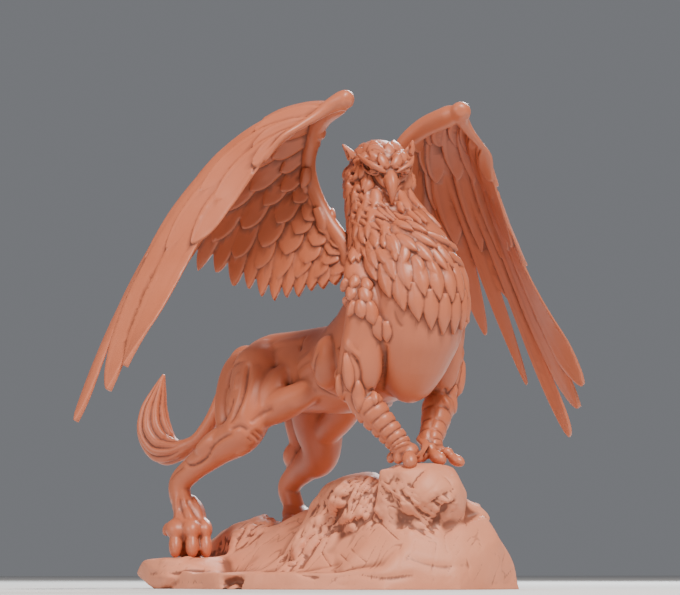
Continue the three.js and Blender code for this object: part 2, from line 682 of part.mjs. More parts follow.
function seatRoom(foot, seat, radius, height) {
  const low = radius * UNIT;
  const room = new THREE.CylinderGeometry(SEAT_FLARE * low, low, height * UNIT, SEAT_CORNERS);
  room.rotateX(0.5 * Math.PI);
  room.translate(foot.x, foot.y, seat + 0.5 * height * UNIT);
  return solidOf(room);
}

function rock() {
  const foreSeat = FORE_SOLE - SEAT_GAP;
  const rightSeat = REAR_RIGHT_SOLE - SEAT_GAP;
  const leftSeat = REAR_LEFT_SOLE - SEAT_GAP;
  const prow = between(FORE_FEET[RIGHT], FORE_FEET[LEFT], 0.5);
  const heart = prow.clone().add(at(0, 0, -50));
  const lobes = [0, 1].map((k) => {
    const root = prow.clone().add(at(21 + 7 * k, -9.5 - 2 * k, -24 - 6 * k));
    return lobe(root, root.clone().add(at(9, -4, -8)), heart, 4);
  });
  const body = Manifold.union([
    ground(),
    boulder(prow.clone().add(at(-1, -5, 0)), 30 * UNIT, 28 * UNIT, 24 * UNIT, foreSeat, 3),
    boulder(REAR_FEET[LEFT], 34 * UNIT, 36 * UNIT, 0, leftSeat, 17),
    boulder(REAR_FEET[RIGHT], 31 * UNIT, 33 * UNIT, -6 * UNIT, rightSeat, 13),
    ...lobes,
  ]);
  const rooms = Manifold.union([
    seatRoom(prow, foreSeat, 48, 60),
    seatRoom(REAR_FEET[LEFT], leftSeat, 24, 60),
    seatRoom(REAR_FEET[RIGHT], rightSeat, 26, 40),
  ]);
  return body.subtract(rooms).trimByPlane([0, 0, 1], 0);
}

function meshOf(solid, name, colour, roughness) {
  const { vertProperties, triVerts } = solid.getMesh();
  const geometry = new THREE.BufferGeometry();
  geometry.setAttribute("position", new THREE.BufferAttribute(vertProperties, 3));
  geometry.setIndex(new THREE.BufferAttribute(triVerts, 1));
  const material = new THREE.MeshStandardMaterial({ color: colour, roughness, metalness: 0 });
  const mesh = new THREE.Mesh(geometry, material);
  mesh.name = name;
  return mesh;
}

// Soles are cut flat, so that each foot sits level on its own seat.
function flatSoled(parts, sole) {
  return Manifold.union(parts).trimByPlane([0, 0, 1], sole);
}

// The parts grown into one solid. Pockets that they shut in between them are filled.
function grownTogether(parts) {
  const shells = Manifold.union(parts).decompose();
  return Manifold.union(shells.filter((shell) => shell.volume() > 0));
}

const griffin = grownTogether([
  limbSolid(trunk, 12, 10),
  breastSolid(),
  ...head(),
  ...tail(),
  ...wing(RIGHT),
  ...wing(LEFT),
  flatSoled([...foreleg(RIGHT), ...foreleg(LEFT)], FORE_SOLE),
  flatSoled(hindleg(RIGHT), REAR_RIGHT_SOLE),
  flatSoled(hindleg(LEFT), REAR_LEFT_SOLE),
]);

const statue = new THREE.Group();
statue.name = "griffin_statue";
statue.add(meshOf(griffin, "griffin", 0xd98a68, 0.42));
statue.add(meshOf(rock(), "rock_plinth", 0xdc9576, 0.6));

export default statue;
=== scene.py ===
import math

import bpy
import numpy as np
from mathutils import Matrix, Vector, kdtree, noise
from mathutils.bvhtree import BVHTree


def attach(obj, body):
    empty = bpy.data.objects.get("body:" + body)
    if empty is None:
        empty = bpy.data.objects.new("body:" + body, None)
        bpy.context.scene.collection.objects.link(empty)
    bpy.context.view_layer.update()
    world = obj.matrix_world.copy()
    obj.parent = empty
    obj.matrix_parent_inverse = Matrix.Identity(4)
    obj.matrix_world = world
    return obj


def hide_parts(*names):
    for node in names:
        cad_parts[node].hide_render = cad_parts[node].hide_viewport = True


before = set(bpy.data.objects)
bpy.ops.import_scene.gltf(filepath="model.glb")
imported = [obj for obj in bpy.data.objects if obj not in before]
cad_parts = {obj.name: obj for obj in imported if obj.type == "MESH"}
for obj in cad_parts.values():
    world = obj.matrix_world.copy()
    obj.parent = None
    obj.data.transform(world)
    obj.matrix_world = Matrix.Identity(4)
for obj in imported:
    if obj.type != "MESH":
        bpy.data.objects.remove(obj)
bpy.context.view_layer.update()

# Camera: 2.2 m off, close to the floor's height, and 38 degrees to the griffin's right of its front. It looks
# up at the middle of the picture. The photograph's pixels are named in an upright plane through the statue's
# axis, and a point picked by its pixel lies on the surface that the pixel shows.
MM = 0.001
IMAGE_WIDTH = 680
IMAGE_HEIGHT = 595
PIXEL = 0.6 * MM
CAMERA_DISTANCE = 2200 * MM
CAMERA_HEIGHT = 10 * MM
CAMERA_TURN = math.radians(38)
AXIS_COLUMN = 331
FLOOR_ROW = 588
SENSOR_WIDTH = 36
FARTHEST_VIEW = 20

away = Vector((math.sin(CAMERA_TURN), math.cos(CAMERA_TURN), 0))
rightwards = Vector((math.cos(CAMERA_TURN), -math.sin(CAMERA_TURN), 0))
eye_point = Vector((0, 0, CAMERA_HEIGHT)) - CAMERA_DISTANCE * away
view_width = IMAGE_WIDTH * PIXEL


def pixel_point(column, row):
    """The point that a pixel shows in the upright plane through the statue's axis."""
    return (column - AXIS_COLUMN) * PIXEL * rightwards + Vector((0, 0, (FLOOR_ROW - row) * PIXEL))


def at_pixel(column, row, depth):
    """The point that a pixel shows at a depth in millimetres, from the statue's axis away from the camera."""
    return np.array(eye_point.lerp(pixel_point(column, row), 1 + depth * MM / CAMERA_DISTANCE))


look = pixel_point(IMAGE_WIDTH / 2, IMAGE_HEIGHT / 2) - eye_point
camera = bpy.data.objects.new("camera", bpy.data.cameras.new("camera"))
bpy.context.scene.collection.objects.link(camera)
bpy.context.scene.camera = camera
camera.location = eye_point
camera.rotation_euler = look.to_track_quat("-Z", "Y").to_euler()
camera.data.sensor_width = SENSOR_WIDTH
camera.data.lens = SENSOR_WIDTH * look.length / view_width
camera.data.clip_end = FARTHEST_VIEW

# The griffin's mass: one casting in tinted resin, which stands on the rock with its four feet. Its trunk,
# neck, legs and tail are ovals swept along curves through the joints, with egg-shaped muscles pressed on, all
# melted together into one skin.
RIGHT = -1
LEFT = 1


def at(x, y, z):
    """A point given in millimetres."""
    return np.array((x, y, z), float) * MM


def between(a, b, share):
    """The point at a share of the way from one point to another."""
    return a + (b - a) * share


def unit(v):
    """Vectors of length 1, also of a whole grid at once."""
    return v / np.maximum(np.linalg.norm(v, axis=-1, keepdims=True), 1e-12)


def along_curve(stations, shares):
    """Points on a smooth curve through the stations, at shares of the way from the first to the last.

    The curve leaves and enters each station by the square roots of the distances, so that it doesn't loop.
    """
    inner = np.asarray(stations, float)
    inner = inner.reshape(len(inner), -1)
    p = np.vstack([2 * inner[0] - inner[1], inner, 2 * inner[-1] - inner[-2]])
    place = np.clip(np.asarray(shares, float), 0, 1) * (len(inner) - 1)
    low = np.minimum(place.astype(int), len(inner) - 2)
    t = (place - low)[..., None]
    a, b, c, d = p[low], p[low + 1], p[low + 2], p[low + 3]
    before, here, after = [
        np.maximum(np.linalg.norm(q - r, axis=-1, keepdims=True), 1e-9) ** 0.5
        for q, r in ((b, a), (c, b), (d, c))
    ]
    leave = ((b - a) / before - (c - a) / (before + here) + (c - b) / here) * here
    enter = ((c - b) / here - (d - b) / (here + after) + (d - c) / after) * here
    return b + leave * t + (3 * (c - b) - 2 * leave - enter) * t**2 + (2 * (b - c) + leave + enter) * t**3


class Clay:
    """Closed shells that are pressed together, as one mesh."""

    def __init__(self):
        self.points = []
        self.faces = []
        self.count = 0

    def add(self, points, faces):
        """Adds a shell's points, and its faces by the places of their corners among those points."""
        self.points.append(points.reshape(-1, 3))
        self.faces += (np.asarray(faces) + self.count).tolist()
        self.count += len(self.points[-1])

    def tube(self, rings):
        """A shell over rings of points, closed flat at both ends."""
        rows, columns = rings.shape[:2]
        index = np.arange(rows * columns).reshape(rows, columns)
        turned = np.roll(index, -1, axis=1)
        quads = np.stack([index[:-1], turned[:-1], turned[1:], index[1:]], axis=-1).reshape(-1, 4)
        ends = np.stack([rings[0].mean(0), rings[-1].mean(0)])
        first, last = rows * columns, rows * columns + 1
        caps = [(first, b, a, a) for a, b in zip(index[0], turned[0])]
        caps += [(last, a, b, b) for a, b in zip(index[-1], turned[-1])]
        caps = [face[:3] for face in caps]
        base = self.count
        self.add(np.vstack([rings.reshape(-1, 3), ends]), quads)
        self.faces += [[int(i) + base for i in face] for face in caps]

    def slab(self, top, bottom):
        """A shell between two grids of points."""
        rows, columns = top.shape[:2]
        index = np.arange(rows * columns).reshape(rows, columns)
        under = index + rows * columns

        def strip(a, b):
            return np.stack([a[:-1], b[:-1], b[1:], a[1:]], axis=-1)

        faces = [
            np.stack([index[:-1, :-1], index[:-1, 1:], index[1:, 1:], index[1:, :-1]], -1).reshape(-1, 4),
            np.stack([under[1:, :-1], under[1:, 1:], under[:-1, 1:], under[:-1, :-1]], -1).reshape(-1, 4),
            strip(index[:, 0], under[:, 0]),
            strip(under[:, -1], index[:, -1]),
            strip(under[0], index[0]),
            strip(index[-1], under[-1]),
        ]
        self.add(np.concatenate([top.reshape(-1, 3), bottom.reshape(-1, 3)]), np.concatenate(faces))

    def piece(self, name):
        """Makes an object of all the shells."""
        mesh = bpy.data.meshes.new(name)
        mesh.from_pydata(np.concatenate(self.points).tolist(), [], self.faces)
        piece = bpy.data.objects.new(name, mesh)
        bpy.context.scene.collection.objects.link(piece)
        return piece


class Limb:
    """Ovals along a curve through joints. Their half widths are in millimetres at each joint."""

    def __init__(self, joints, wide, deep, side):
        self.joints = joints
        self.wide = np.array(wide, float) * MM
        self.deep = np.array(deep, float) * MM
        self.side = np.array(side, float)

    def section(self, shares):
        """The middle of the limb at shares of its length, and the ways along, across and through it."""
        near = 1e-3
        centre = along_curve(self.joints, shares)
        ahead = along_curve(self.joints, np.minimum(shares + near, 1))
        along = unit(ahead - along_curve(self.joints, np.maximum(shares - near, 0)))
        across = unit(self.side - along * (along @ self.side)[..., None])
        return centre, along, across, np.cross(along, across)

    def rings(self, sides, steps, swell=None):
        """Rings of points. The swell, where one is given, scales each point's distance from the middle."""
        shares = np.linspace(0, 1, steps + 1)
        turns = np.arange(sides) * 2 * math.pi / sides
        centre, _, across, deep = self.section(shares)
        size = np.ones((steps + 1, sides)) if swell is None else swell(shares[:, None], turns[None, :])
        half_wide = along_curve(self.wide, shares)
        half_deep = along_curve(self.deep, shares)
        out = (across * half_wide)[:, None] * np.cos(turns)[None, :, None]
        out = out + (deep * half_deep)[:, None] * np.sin(turns)[None, :, None]
        return centre[:, None] + out * size[..., None]


def egg_rings(start, end, width, thickness, out, sides=20, rings=14):
    """An egg from one end to the other, with its half width and its half thickness towards out."""
    pole = 0.03
    along = end - start
    half = np.linalg.norm(along) / 2
    along = unit(along)
    across = unit(np.cross(out, along))
    facing = np.cross(along, across)
    rise = np.linspace(pole, math.pi - pole, rings)[:, None, None]
    turn = (np.arange(sides) * 2 * math.pi / sides)[None, :, None]
    ball = np.sin(rise) * np.cos(turn) * across * width * MM
    ball = ball + np.sin(rise) * np.sin(turn) * facing * thickness * MM
    return (start + end) / 2 + ball - np.cos(rise) * along * half


mass = Clay()
LIMB_SIDES = 28
LIMB_STEPS = 60


def limb(joints, wide, deep, side):
    """Adds a limb to the mass."""
    made = Limb(joints, wide, deep, side)
    mass.tube(made.rings(LIMB_SIDES, LIMB_STEPS))
    return made


def muscle(start, end, width, thickness, out):
    """Presses an egg on the mass, with its half width and its half thickness in millimetres."""
    mass.tube(egg_rings(start, end, width, thickness, out))


# Trunk, from the front of the chest to the rump, and the breast, from the throat down to its keel.
limb(
    [at(0, -95, 153), at(0, -79, 148), at(0, -58, 147), at(0, -36, 138), at(0, -14, 131.5), at(0, 8, 131),
        at(0, 30, 131), at(-0.5, 52, 131), at(-1, 70, 132.5), at(-1.5, 81, 136)],
    [12, 24, 30, 27, 24, 21, 20, 22, 19, 7],
    [17, 33, 37, 32, 27.5, 26, 25, 24.5, 20, 8],
    (1, 0, 0),
)
breast = limb(
    [at(0, -47, 250), at(0, -46.5, 237), at(0, -51, 221), at(0, -61, 202.5), at(0, -72.5, 185.5),
        at(0, -78, 167.5), at(0, -78, 151), at(0, -76, 138.5), at(0, -74.5, 127), at(0, -72.5, 116),
        at(0, -70.5, 109.5)],
    [15, 20.5, 21.5, 26, 29.5, 30, 28, 25, 20, 13.5, 5],
    [15, 16.5, 19.5, 26.5, 31.5, 33, 30, 26, 21, 13.5, 5],
    (1, 0, 0),
)

# Forelegs: a smooth upper arm over a forearm in scaly bands, which ends in an eagle's foot on the boulder.
# The last muscle is the round one that shows behind the shoulder.
ELBOWS = {RIGHT: at(-31, -62, 115), LEFT: at(35.5, -60.5, 116)}
WRISTS = {RIGHT: at(-15, -83, 84), LEFT: at(13, -78, 85)}
FORE_FEET = {RIGHT: at(-14, -86, 79), LEFT: at(13, -82, 79)}
FORE_SOLE = 73 * MM
FOREARMS = {}

for side in (RIGHT, LEFT):
    shoulder = at(side * 25.5, -71, 162)
    elbow, wrist, foot = ELBOWS[side], WRISTS[side], FORE_FEET[side]
    limb(
        [at(side * 14, -51, 192.5), at(side * 22, -62.5, 180), shoulder, between(shoulder, elbow, 0.55),
            elbow, elbow + at(0, 4, -5)],
        [8, 11, 13, 12, 9.5, 5],
        [12, 16, 16, 14, 10.5, 5],
        (0, 1, 0),
    )
    FOREARMS[side] = limb(
        [elbow + at(0, 2, 4), between(elbow, wrist, 0.3), between(elbow, wrist, 0.7), wrist, foot],
        [8, 8.6, 7.0, 6.0, 5.6],
        [8, 9.0, 7.2, 6.0, 4.8],
        (side, 0, 0),
    )
    out = (side, 0, 0)
    muscle(between(shoulder, elbow, -0.4) + at(side * 3, 2, 2), between(elbow, wrist, 0.16)
        + at(side * 1, -5, 2), 10, 12, out)
    muscle(between(shoulder, elbow, 0.3) + at(side * 2, 8, 0), elbow + at(side * 1, 6, -3), 6, 9, out)
    muscle(elbow + at(side * 3, 3, 6), between(elbow, wrist, 0.45) + at(side * 4, 4, -2), 5, 7, out)
    muscle(at(side * 25.5, -31, 149), at(side * 24, -26, 117), 10.5, 9, out)

# Hind legs: a lion's, with a heavy thigh, a round calf, a long shank and a broad paw that stands lower on the
# rock. A fold of the flank runs from the belly to each knee.
HIPS = {RIGHT: at(-20, 46, 134), LEFT: at(20, 44, 134)}
KNEES = {RIGHT: at(-37, 36, 96), LEFT: at(25, 43, 83)}
HOCKS = {RIGHT: at(-50, 86, 66), LEFT: at(27, 78, 64)}
REAR_FEET = {RIGHT: at(-50, 76, 27), LEFT: at(28, 66, 36)}
REAR_SOLES = {RIGHT: 19 * MM, LEFT: 29 * MM}
PAW_HEADINGS = {RIGHT: math.radians(-34), LEFT: math.radians(-6)}

for side in (RIGHT, LEFT):
    hip, knee, hock, foot = HIPS[side], KNEES[side], HOCKS[side], REAR_FEET[side]
    limb(
        [hip + at(side * -8, 2, 15), hip, between(hip, knee, 0.5), knee, between(knee, hock, 0.4),
            between(knee, hock, 0.8), between(hock, foot, 0.08), between(hock, foot, 0.5), foot],
        [5, 14, 14, 11, 8.5, 6.5, 6.4, 6.4, 9.5],
        [6, 17, 18, 14, 10, 8, 7.5, 6.5, 8],
        (side, 0, 0),
    )
    out = (side, 0, 0)
    muscle(hip + at(side * -3, 0, 14), knee + at(side * 1, -4, -3), 13, 13.5, out)
    muscle(hip + at(0, 24, 8), knee + at(side * 2, 18, -6), 9, 9, out)
    muscle(hip + at(side * -8, 24, 10), between(hip, knee, 0.55) + at(side * 2, 14, 0), 9, 11, out)
    muscle(hip + at(side * -2, -26, 0), knee + at(side * -1, -6, 4), 9, 8, out)
    muscle(hip + at(side * -4, -58, -14), knee + at(side * -3, 2, 4), 10, 9, out)
    muscle(knee + at(side * 2, 9, 2), between(knee, hock, 0.7) + at(side * 2, 0, 3), 7, 8, out)

# The far calf, whose ball shows under the belly.
muscle(at_pixel(298, 444, 62), at_pixel(290, 466, 74), 7, 6.5, (1, 0, 0))

# Tail stem, from the rump down to the root of the tuft.
limb(
    [at(-1, 72, 139), at(-2, 85.5, 142), at(-5, 92.5, 133), at(-9, 98, 117), at(-14, 104, 101.5),
        at(-19, 112, 90.5), at(-25, 124, 85.5)],
    [9, 7, 5.6, 4.8, 4.5, 4.5, 5.2],
    [9, 7, 5.6, 4.8, 4.5, 4.5, 5.2],
    (1, 0, 0),
)

# Feet: an eagle's toes in front, each a knuckle and a blunt claw that hangs over the boulder's edge, and a
# lion's paws behind, whose toes are each a knuckle at the end of a tendon and a rounded pad below it.
UPWARDS = (0, 0, 1)
FORE_TOES = {
    # pixels of the start and end of each egg, their depths, half width and half thickness in millimetres
    RIGHT: [
        ((404, 446, -72), (411, 455, -78), 7.4, 5.2),
        ((404, 451.5, -77), (417.5, 451.5, -77), 3.4, 3.4),
        ((408.5, 453.5, -78), (411, 467, -88), 4.5, 4.3),
        ((399, 451, -74), (397.5, 463, -80), 3.4, 3.4),
        ((392, 452, -70), (389.5, 463, -74), 2.6, 2.8),
        ((416, 453, -74), (419, 462, -78), 3.4, 3.2),
    ],
    LEFT: [
        ((433, 447, -54), (438, 456, -60), 7.0, 4.6),
        ((425, 448.5, -61), (436, 448.5, -63), 3.6, 3.6),
        ((430, 452.5, -63), (444.5, 462, -73), 4.3, 4.1),
        ((441.5, 450.5, -61), (453, 454.5, -62), 3.3, 3.3),
        ((448.5, 456.5, -60), (463.5, 464, -68), 3.8, 3.6),
        ((424, 451, -60), (421, 461, -66), 3.2, 3.2),
    ],
}
for side in (RIGHT, LEFT):
    for start, end, width, thickness in FORE_TOES[side]:
        muscle(at_pixel(*start), at_pixel(*end), width, thickness, UPWARDS)

PAW_TOES = [
    # to the outer side and forwards of the foot, knuckle's half width, pad's half width
    (8, 6, 6.6, 4.1),
    (-1.8, 9.5, 5.8, 4.1),
    (-10, 6, 4.9, 3.9),
]
PAW_RISE = {RIGHT: 1.0, LEFT: 0.62}


def paw_forward(side):
    """The way that a hind paw points."""
    return np.array((math.sin(PAW_HEADINGS[side]), -math.cos(PAW_HEADINGS[side]), 0))


def paw_spot(side, outer, front, up):
    """A point of a hind paw: towards its outer side, forwards of its foot, and up from its sole."""
    forward = paw_forward(side)
    across = np.cross(forward, UPWARDS)
    point = REAR_FEET[side] + (across * -side * outer + forward * front) * MM
    point[2] = REAR_SOLES[side] + up * PAW_RISE[side] * MM
    return point


def paw_muscle(side, start, end, width, thickness, out):
    muscle(paw_spot(side, *start), paw_spot(side, *end), width, thickness, out)


for side in (RIGHT, LEFT):
    forward = paw_forward(side)
    paw_muscle(side, (0, -12, 36), (-1, 9, 8), 10, 8, UPWARDS)
    paw_muscle(side, (-3, -9, 36), (-5, 5, 12), 7, 6, UPWARDS)
    paw_muscle(side, (-1, -12, 9), (-1, 8, 8), 13, 9.5, UPWARDS)
    for outer, front, knuckle, pad in PAW_TOES:
        paw_muscle(side, (outer * 0.3, -7, 38), (outer * 0.95, front - 1, 17), 2.5, 3.2, forward)
        paw_muscle(side, (outer * 0.9, front - 10, 21), (outer, front + 4.5, 13), knuckle, 6.0, UPWARDS)
        paw_muscle(side, (outer, front - 1, 14), (outer * 1.03, front + 6, -0.4), pad, 5.0, forward)
    paw_muscle(side, (11.5, -6, 21), (14.2, -2, 13), 2.8, 3.2, forward)

# Head core: the skull, which the feathers of the head are laid on. It is drawn in its own frame: left,
# forward and up from the middle of the skull, turned to the griffin's right and bowed.
HEAD_CENTRE = at(0, -48.5, 246.5)
HEAD_TURN = math.radians(24)
HEAD_BOW = math.radians(25)
heading = np.array((-math.sin(HEAD_TURN), -math.cos(HEAD_TURN), 0))
head_left = np.array((math.cos(HEAD_TURN), -math.sin(HEAD_TURN), 0))
head_forward = heading * math.cos(HEAD_BOW) - np.array((0, 0, math.sin(HEAD_BOW)))
head_up = heading * math.sin(HEAD_BOW) + np.array((0, 0, math.cos(HEAD_BOW)))


def in_head(left, forward, up):
    """A point given in millimetres in the head's frame."""
    return HEAD_CENTRE + (head_left * left + head_forward * forward + head_up * up) * MM


def head_path(side, spots):
    """Points of the head's frame, on one side of the head."""
    return [in_head(side * left, forward, up) for left, forward, up in spots]


SKULL = [(0, -18, -4), (0, -13, 0), (0, -4, 0.5), (0, 5, 0), (0, 12, -1), (0, 18, 0), (0, 22, 1)]
limb(
    head_path(LEFT, SKULL),
    [6, 14.5, 17.5, 17, 13.5, 8, 5],
    [6, 14.2, 16.4, 15.2, 12.0, 9.0, 6.6],
    head_left,
)
for side in (RIGHT, LEFT):
    out = head_left * side
    brow_facing = unit(head_up * 0.75 + head_forward * 0.55 + out * 0.2)
    muscle(in_head(side * 1.0, 20, 9.3), in_head(side * 14.5, 7, 11.8), 4.2, 2.0, brow_facing)
    muscle(in_head(side * 7, 16, -4), in_head(side * 18, 0, -8), 7, 5, out)
    muscle(in_head(side * 14, -2, 2), in_head(side * 18, -6, -14), 5.5, 4.5, out)

# Wings' shape: ribs run from the arm bone to the hem. Each has a root, a middle and a tip, for the left wing,
# from the innermost feather by the back to the leading feather of the hand.
WING_RIBS = np.array([
    [[20, -40, 200], [24, -40.5, 190.5], [27, -42.5, 179]],
    [[25, -29, 217], [32, -26, 198], [38, -26.5, 174]],
    [[30, -21, 236], [42, -12, 207], [50, -11, 170]],
    [[33, -20, 251], [53, 0, 220], [62, 6.5, 178]],
    [[34, -26, 265], [63, 6, 236.5], [76.5, 32.5, 190]],
    [[38.5, -40, 275.5], [76, 5, 251], [106.5, 36.5, 181]],
    [[42, -59, 281], [85.5, -6, 252], [137, 23.5, 161.5]],
    [[50, -63, 279.5], [100.5, -12.5, 242], [163.5, 9.5, 127.5]],
    [[58, -60, 273.5], [115, -17, 226.5], [187, -5, 95]],
    [[68, -57.5, 267], [117.5, -26, 216], [177.5, -24.5, 112.5]],
    [[78.5, -54.5, 260], [117.5, -36.5, 204.5], [171.5, -37, 131]],
]) * MM
LAST_RIB = len(WING_RIBS) - 1
WRIST_RIB = 6
RIB_STEP = 0.2
REACH_STEP = 0.02


def on_wing(side, rib, reach):
    """A point of the wing's middle surface. Beyond the first and the last rib it runs straight on."""
    rib, reach = np.broadcast_arrays(np.asarray(rib, float), np.asarray(reach, float))
    held = np.clip(rib, 0, LAST_RIB)
    root, middle, tip = (along_curve(WING_RIBS[:, k], held / LAST_RIB) for k in range(3))
    pull = 2 * middle - 0.5 * root - 0.5 * tip
    t = reach[..., None]
    point = root * (1 - t) ** 2 + pull * 2 * t * (1 - t) + tip * t**2
    if np.any(held != rib):
        step = np.where(rib > held, 1, -1) * RIB_STEP
        inner = on_wing(LEFT, np.clip(held - step, 0, LAST_RIB), reach)
        point = point + (point - inner) * (np.abs(rib - held) / RIB_STEP)[..., None]
    return point * (side, 1, 1)


def wing_frame(side, rib, reach):
    """The way along the feathers, the way to the next rib, and the way out of the wing's upper face."""
    held = np.clip(rib, RIB_STEP, LAST_RIB - RIB_STEP)
    along = on_wing(side, rib, reach + REACH_STEP) - on_wing(side, rib, reach - REACH_STEP)
    onward = on_wing(side, held + RIB_STEP, reach) - on_wing(side, held - RIB_STEP, reach)
    out = unit(np.cross(onward, along)) * -side
    return unit(along), onward / (2 * RIB_STEP), out


# Wings' bones: an arm from the shoulder up to the wrist, and a hand from the wrist down the leading edge.
ARM_WIDTHS = [8, 7, 5.6, 4.8, 4.6, 4.6, 5, 6, 6.4, 3]
HAND_WIDTHS = [3, 6.2, 4.4, 3.0, 2.2, 1.8, 1.2]

for side in (RIGHT, LEFT):
    arm = [at(side * 12, -49, 175), at(side * 18, -44, 190)]
    arm += [on_wing(side, rib, 0) for rib in range(WRIST_RIB + 1)] + [at(side * 43, -70, 284)]
    limb(arm, ARM_WIDTHS, ARM_WIDTHS, (1, 0, 0))
    hand = [at(side * 41, -73, 282), at(side * 43.5, -69.5, 283)]
    hand += [on_wing(side, rib, 0) for rib in range(WRIST_RIB + 1, LAST_RIB + 1)]
    hand += [on_wing(side, LAST_RIB, 0.1)]
    limb(hand, HAND_WIDTHS, HAND_WIDTHS, (0, 1, 0))

# The mass is melted into one skin, relaxed so that the muscles run into each other, most on the trunk and the
# haunches, and then carved.
MELT_VOXEL = 0.9 * MM
LINE_POINTS = 40
FIRST_RELAX = 4
BODY_RELAX = 18
BODY_MIDDLE = (0, 30, 122)
BODY_REACH = (70, 75, 46)


def select_only(piece):
    bpy.ops.object.select_all(action="DESELECT")
    piece.select_set(True)
    bpy.context.view_layer.objects.active = piece


def melt(piece, voxel):
    """Melts the shells of a piece into one skin."""
    select_only(piece)
    piece.data.remesh_voxel_size = voxel
    piece.data.use_remesh_fix_poles = False
    bpy.ops.object.voxel_remesh()


class Skin:
    """A mesh whose points are moved as with a sculptor's tools."""

    def __init__(self, piece):
        self.mesh = piece.data
        self.points = np.empty(len(self.mesh.vertices) * 3, np.float32)
        self.mesh.vertices.foreach_get("co", self.points)
        self.points = self.points.reshape(-1, 3).astype(float)
        self.edges = np.empty(len(self.mesh.edges) * 2, np.int32)
        self.mesh.edges.foreach_get("vertices", self.edges)
        self.edges = self.edges.reshape(-1, 2)
        self.degree = np.bincount(self.edges.ravel(), minlength=len(self.points))[:, None]
        self.update()

    def update(self):
        """Writes the points to the mesh and reads its normals."""
        self.mesh.vertices.foreach_set("co", self.points.astype(np.float32).ravel())
        self.mesh.update()
        self.normals = np.empty(len(self.points) * 3, np.float32)
        self.mesh.vertices.foreach_get("normal", self.normals)
        self.normals = self.normals.reshape(-1, 3).astype(float)

    def around(self, values):
        """The mean of each point's neighbours."""
        a, b = self.edges.T
        total = np.stack([
            np.bincount(a, column[b], len(self.points)) + np.bincount(b, column[a], len(self.points))
            for column in values.T
        ], axis=-1)
        return total / self.degree

    def relax(self, times, share=0.5):
        """Evens the skin out. The share may differ from point to point."""
        for _ in range(times):
            self.points += share * (self.around(self.points) - self.points)
        self.update()

    def stroke(self, path, width, height, sharp=2.0, ends=0.2):
        """Raises the skin along a path, or cuts it where height is below 0. It fades at both ends."""
        width, height = width * MM, height * MM
        line = along_curve(np.array([tuple(p) for p in path]), np.linspace(0, 1, LINE_POINTS))
        near = np.all((self.points > line.min(0) - width) & (self.points < line.max(0) + width), axis=1)
        picked = np.flatnonzero(near)
        gaps = np.linalg.norm(self.points[picked][:, None] - line[None], axis=-1)
        closest = gaps.argmin(1) / (LINE_POINTS - 1)
        gap = gaps.min(1)
        inside = gap < width
        picked, gap, closest = picked[inside], gap[inside], closest[inside]
        fade = (1 - (gap / width) ** sharp) ** 2
        fade *= np.clip(np.minimum(closest, 1 - closest) / ends, 0, 1) ** 0.5 if ends else 1
        self.points[picked] += self.normals[picked] * (height * fade)[:, None]

    def tree(self):
        """A tree of the skin's faces, to cast rays on it and to find the nearest point of it."""
        corners = np.empty(len(self.mesh.loops), np.int32)
        self.mesh.loops.foreach_get("vertex_index", corners)
        return BVHTree.FromPolygons(self.points.tolist(), corners.reshape(-1, 4).tolist())


griffin = mass.piece("griffin_figure")
melt(griffin, MELT_VOXEL)
skin = Skin(griffin)
skin.relax(FIRST_RELAX)
spread = (skin.points / MM - BODY_MIDDLE) / BODY_REACH
in_body = np.clip(3 * (1 - np.linalg.norm(spread, axis=1)), 0, 1)[:, None]
skin.relax(BODY_RELAX, 0.5 * in_body)
tree = skin.tree()
SEARCH_DEPTH = 200 * MM
SEARCH_STEPS = 80


def seen(column, row):
    """The point of the skin that a pixel of the photograph shows, or the nearest to it past an outline."""
    ray = (pixel_point(column, row) - eye_point).normalized()
    hit = tree.ray_cast(eye_point, ray)[0]
    if hit is not None:
        return hit
    reaches = np.linspace(CAMERA_DISTANCE - SEARCH_DEPTH, CAMERA_DISTANCE + SEARCH_DEPTH, SEARCH_STEPS)
    nearest = [tree.find_nearest(eye_point + ray * reach) for reach in reaches]
    return min(nearest, key=lambda found: found[3])[0]


def on_skin(points):
    """The nearest skin to the points."""
    return [tree.find_nearest(Vector(p))[0] for p in points]


def mirrored(points):
    """The nearest skin to the points' mirror images."""
    return on_skin([(-p.x, p.y, p.z) for p in points])


